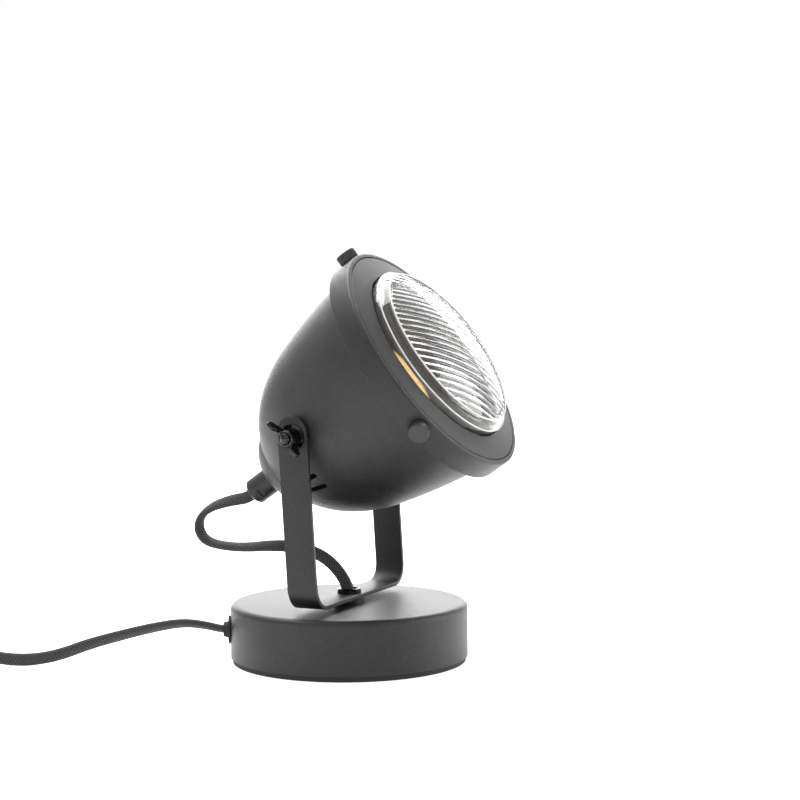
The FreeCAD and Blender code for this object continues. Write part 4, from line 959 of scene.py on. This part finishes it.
def makeBulb():
    look = bulbLook
    cup = look["rear"] + look["baseLength"]
    shell = latheShape([
        (0, look["rear"]), (look["base"], look["rear"], 0.8), (look["base"], cup, 0.6),
        (look["base"] + look["neck"], cup + look["neckRise"], 0.8), *look["flare"],
        *[(look["radius"] + out, look["front"] + up, size) for out, up, size in look["rim"]],
        (0, look["front"] - look["sunk"])])
    piece = newPiece("bulbShell", shell, "bulb_glass", "head", headPlace)
    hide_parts("bulb")
    pinVerts, pinFaces = latheShape([
        (0, look["pinFrom"]), (look["pinRadius"], look["pinFrom"], 0.4),
        (look["pinRadius"], look["pinTo"]), (0, look["pinTo"])], steps=24)
    verts = [(x, y + shift, z) for shift in (-look["pinShift"], look["pinShift"])
             for x, y, z in pinVerts]
    faces = pinFaces + [tuple(k + len(pinVerts) for k in face) for face in pinFaces]
    newPiece("bulbPins", (verts, faces), "nickel_pin", "head", headPlace)
    piece.data.materials.append(bulbFrontFinish())
    for face in piece.data.polygons:
        middle = headPlace.inverted() @ (face.center / mm)
        inside = math.hypot(middle.x, middle.y) < look["radius"] - look["litIn"]
        if inside and middle.z > look["front"] - look["litFrom"]:
            face.material_index = 1
    data = bpy.data.lights.new("bulbLight", "POINT")
    data.color = look["glow"]
    data.energy = look["watts"]
    data.shadow_soft_size = look["lampSize"]
    lamp = bpy.data.objects.new("bulbLight", data)
    lamp.location = (headPlace @ Vector((0, 0, look["front"] + look["lampAhead"]))) * mm
    lamp.visible_glossy = False
    lamp.visible_transmission = False
    scene.collection.objects.link(lamp)


makeLens()
makeBezel()
makeBulb()

print("bracket")

strapLook = {
    "width": 16.2, "thick": 2.0, "bend": 10.0, "outerHalf": 54.3,
    "foot": 33.2, "leanStart": 38.0, "lean": 3.5, "top": 11.0, "edge": 0.35,
    "endAngle": 3, "curveSteps": 12, "armSteps": 8,
}


def makeBracket():
    look = strapLook
    lean = math.tan(math.radians(look["lean"]))
    half = look["width"] / 2
    middle = look["outerHalf"] - look["thick"] / 2
    bend = look["bend"] + look["thick"] / 2
    foot = look["foot"] + look["thick"] / 2
    top = hinge.z + look["top"]
    # stations: (x, z, way out, half width), from one arm's end round to the other's
    steps = look["curveSteps"]
    roundFrom = top - half       # where the arm's round end begins
    arm = []
    for k in range(steps + 1):
        angle = math.radians(look["endAngle"] + (90 - look["endAngle"]) * k / steps)
        arm.append((roundFrom + half * math.cos(angle), half * math.sin(angle)))
    for k in range(1, look["armSteps"] + 1):
        arm.append((roundFrom + (foot + bend - roundFrom) * k / look["armSteps"], half))
    stations = [(-middle, z, (-1, 0), wide) for z, wide in arm]
    for k in range(1, steps + 1):
        angle = math.radians(90 * k / steps)
        stations.append((-middle + bend - bend * math.cos(angle), foot + bend - bend * math.sin(angle),
                         (-math.cos(angle), -math.sin(angle)), half))
    stations.append((0, foot, (0, -1), half))
    stations += [(-x, z, (-out[0], out[1]), wide) for x, z, out, wide in reversed(stations[:-1])]
    verts = []
    faces = []
    thick = look["thick"] / 2
    for x, z, out, wide in stations:
        for depth, side in ((thick, -1), (thick, 1), (-thick, 1), (-thick, -1)):
            back = max(0.0, z - look["leanStart"]) * lean
            verts.append((x + out[0] * depth, back + side * wide, z + out[1] * depth))
    for index in range(len(stations) - 1):
        for k in range(4):
            after = (k + 1) % 4
            here = index * 4
            faces.append((here + k, here + after, here + 4 + after, here + 4 + k))
    last = (len(stations) - 1) * 4
    faces.append((3, 2, 1, 0))
    faces.append((last, last + 1, last + 2, last + 3))
    piece = newPiece("bracketStrap", (verts, faces), "black_powder_coat", "bracket")
    soften(piece, width=look["edge"], limit=60)
    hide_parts("bracket")


makeBracket()

print("small hardware")


def sidePlace(sign, turn=0.0):
    # Z points outwards along the hinge
    return (Matrix.Translation(hinge) @ Matrix.Rotation(sign * math.pi / 2, 4, "Y")
            @ Matrix.Rotation(turn, 4, "Z"))


switchLook = {
    "heading": math.radians(108.4), "halfLong": 30.0, "halfWide": 11.0, "endHalfWide": 6.4,
    "taperFrom": 16.0, "square": 0.45, "wellLong": 7.5, "wellWide": 4.4, "wellFloor": 8.0,
    "wellSquare": 0.16, "wellFlare": 0.35, "wellFlareDepth": 0.4,
    # how far each ring is set in, and its height
    "lower": ((2.4, 0.0), (0.9, 0.3), (0.15, 1.2), (0.0, 2.6), (0.0, 7.0), (0.4, 7.4)),
    "upper": ((0.4, 7.5), (0.0, 7.9), (0.0, 12.0), (0.25, 13.3), (1.0, 14.4), (2.2, 14.9),
              (3.3, 15.0)),
}


def nodeMiddle(name):
    # a node's lowest corner and its middle, in millimetres
    corners = [nodes[name].matrix_world @ Vector(c) for c in nodes[name].bound_box]
    low = Vector([min(c[i] for c in corners) for i in range(3)]) / mm
    high = Vector([max(c[i] for c in corners) for i in range(3)]) / mm
    return low, (low + high) / 2


def makeSwitch():
    look = switchLook
    middle = nodeMiddle("switch_lower")[1]
    place = Matrix.Translation((middle.x, middle.y, 0)) @ Matrix.Rotation(look["heading"], 4, "Z")

    def shellRing(inset, height):
        ring = []
        for x, share in roundBox(look["halfLong"] - inset, 1.0, look["square"]):
            taper = within((abs(x) - look["taperFrom"]) / (look["halfLong"] - look["taperFrom"]))
            narrow = eased(taper) * (look["halfWide"] - look["endHalfWide"])
            ring.append((x, share * (look["halfWide"] - narrow - inset), height))
        return ring

    def wellRing(grow, height):
        return [(x, y, height) for x, y in
                roundBox(look["wellLong"] + grow, look["wellWide"] + grow, look["wellSquare"])]

    rings = [shellRing(*ring) for ring in look["lower"]]
    lower = newPiece("switchLower", loftShape(rings), nodeSlot["switch_lower"], "base", place)
    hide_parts("switch_lower")
    rings = [shellRing(*ring) for ring in look["upper"]]
    top = look["upper"][-1][1]
    rings += [wellRing(look["wellFlare"], top), wellRing(0.0, top - look["wellFlareDepth"]),
              wellRing(0.0, look["wellFloor"])]
    upper = newPiece("switchUpper", loftShape(rings), nodeSlot["switch_upper"], "base", place)
    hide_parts("switch_upper")
    return lower, upper


plugLook = {
    # the cord relief: ribs that grow towards the plug, with the start and end of a rib and
    # of the groove after it, counted from the rib's start
    "ribs": 6, "ribFrom": 0.6, "ribStep": 2.1, "firstRib": 3.6, "ribGrowth": 0.3,
    "ribSpan": (0.0, 1.2), "grooveSpan": (1.3, 2.0), "ribDepth": 0.7, "chamfer": 0.5,
    # along the plug: place, half width, half thickness and squareness of its body's rings
    "body": ((13.9, 7.2, 5.6, 0.6), (14.7, 8.5, 6.5, 0.5), (18.0, 11.2, 6.85, 0.45),
             (24.0, 15.6, 6.85, 0.4), (28.5, 17.4, 6.85, 0.38), (32.0, 17.65, 6.85, 0.38),
             (37.6, 17.65, 6.85, 0.38), (38.6, 17.2, 6.4, 0.38), (39.0, 16.4, 5.6, 0.38)),
}


def makePlug():
    look = plugLook
    corner, middle = nodeMiddle("plug_body")
    place = Matrix.Translation((corner.x, middle.y, middle.z))
    first = look["firstRib"] - look["chamfer"]
    sections = [(0.0, first, first, 1.0)]
    for k in range(look["ribs"]):
        start = look["ribFrom"] + k * look["ribStep"]
        radius = look["firstRib"] + k * look["ribGrowth"]
        low = radius - look["ribDepth"]
        sections += [(start + along, radius, radius, 1.0) for along in look["ribSpan"]]
        sections += [(start + along, low, low, 1.0) for along in look["grooveSpan"]]
    sections += look["body"]
    rings = [[(along, y, z) for y, z in roundBox(wide, thick, power)]
             for along, wide, thick, power in sections]
    piece = newPiece("plugBody", loftShape(rings), nodeSlot["plug_body"], "base", place, sharp=28)
    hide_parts("plug_body")
    return piece


tieLook = {
    "angle": math.radians(-50), "width": 11.0, "thick": 0.8, "top": 9.6, "square": 0.3,
    "spare": 3.9,            # from the outer turns' middle to the strap's outside
}


def makeTie():
    # a soft strap round all the turns of the coil
    look = tieLook
    far = coilPlan["outer"] + look["spare"]
    near = coilPlan["outer"] - coilPlan["pitch"] * coilPlan["turns"] / 2 - look["spare"]
    middle = (far + near) / 2
    reach = (far - near) / 2
    rise = look["top"] / 2
    thick = look["thick"]
    outer = roundBox(reach, rise, look["square"])
    inner = roundBox(reach - thick, rise - thick, look["square"])
    half = look["width"] / 2
    verts = []
    faces = []
    for k in range(len(outer)):
        for line, side in ((outer, -half), (outer, half), (inner, half), (inner, -half)):
            verts.append((middle + line[k][0], side, rise + line[k][1]))
        here = 4 * k
        after = 4 * ((k + 1) % len(outer))
        for side in range(4):
            across = (side + 1) % 4
            faces.append((here + side, here + across, after + across, after + side))
    place = (Matrix.Translation((*coilPlan["centre"], 0))
             @ Matrix.Rotation(look["angle"], 4, "Z"))
    return newPiece("coilTie", (verts, faces), "soft_black", "base", place)


wingLook = {
    "low": 55.3, "height": 6.3, "baseRadius": 5.0, "baseHeight": 1.1, "neckRadius": 4.0,
    "bore": 2.6, "thick": 2.0, "edge": 0.5,
    "turns": (("wing_nut_near", -1, 45.0), ("wing_nut_far", 1, 20.0)),
    # one wing: across, out from the nut's seat, round
    "wing": ((3.2, 1.3), (5.8, 1.6, 0.8), (11.3, 6.6, 1.3), (11.5, 10.7, 1.1), (7.6, 11.0, 0.9),
             (4.6, 5.6, 1.2), (3.2, 5.9)),
}


def makeWingNuts():
    look = wingLook
    low = look["low"]
    high = low + look["height"]
    for name, sign, turn in look["turns"]:
        place = sidePlace(sign, math.radians(turn))
        hub = newPiece(name + "Hub", latheShape([
            (look["bore"], low), (look["baseRadius"], low, 0.3),
            (look["baseRadius"], low + look["baseHeight"], 0.4), (look["neckRadius"], high, 0.7),
            (look["bore"], high, 0.4)], steps=48), "black_nickel", name, place)
        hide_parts(name)
        for letter, side in (("A", 1), ("B", -1)):
            outline = [(side * across, low + out, *size) for across, out, *size in look["wing"]]
            verts, faces = plateShape(outline[::side], look["thick"])
            verts = [(x, z, y) for x, y, z in verts]
            wing = newPiece("%sWing%s" % (name, letter), (verts, faces), "black_nickel", name, place)
            soften(wing, width=look["edge"], limit=50)


thumbLook = {
    "place": 60.5, "angles": (-9.0, 104.8, -122.8), "low": 65.7, "height": 5.2, "radius": 5.25,
    "knurls": 40, "depth": 0.28, "shank": 1.5, "shankEnd": 59.2,
    "chamfer": 0.5, "underChamfer": 0.6, "faceEdge": 1.2, "faceDepth": 0.12,
    "plainIn": 0.45, "plainLow": 0.3,
}


def makeThumbscrews():
    look = thumbLook
    for index in range(3):
        angle = math.radians(look["angles"][index])
        outward = Vector((math.sin(angle), math.cos(angle), 0))
        turn = Vector((0, 0, 1)).rotation_difference(outward).to_matrix().to_4x4()
        place = headPlace @ Matrix.Translation((0, 0, look["place"])) @ turn
        high = look["low"] + look["height"]

        def ripple(radius, height, around):
            # only the head's side is knurled, not its ends or the shank
            if radius < look["radius"] - look["plainIn"] or height < look["low"] + look["plainLow"]:
                return radius
            return radius - look["depth"] * (0.5 - 0.5 * math.cos(around * look["knurls"]))

        chamfer = look["chamfer"]
        shape = latheShape([
            (0, look["shankEnd"]), (look["shank"], look["shankEnd"], 0.2),
            (look["shank"], look["low"]), (look["radius"] - look["underChamfer"], look["low"]),
            (look["radius"], look["low"] + chamfer), (look["radius"], high - chamfer),
            (look["radius"] - chamfer, high, 0.15),
            (look["radius"] - look["faceEdge"], high - look["faceDepth"], 0.1),
            (0, high - look["faceDepth"])], look["knurls"] * 6, ripple)
        name = "thumbscrew_%d" % (index + 1)
        piece = newPiece("thumbHead%d" % (index + 1), shape, "black_nickel", name, place,
                         sharp=40, finish=blackOxide)
        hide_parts(name)


switchLower, switchUpper = makeSwitch()
makePlug()
makeTie()
makeWingNuts()
makeThumbscrews()
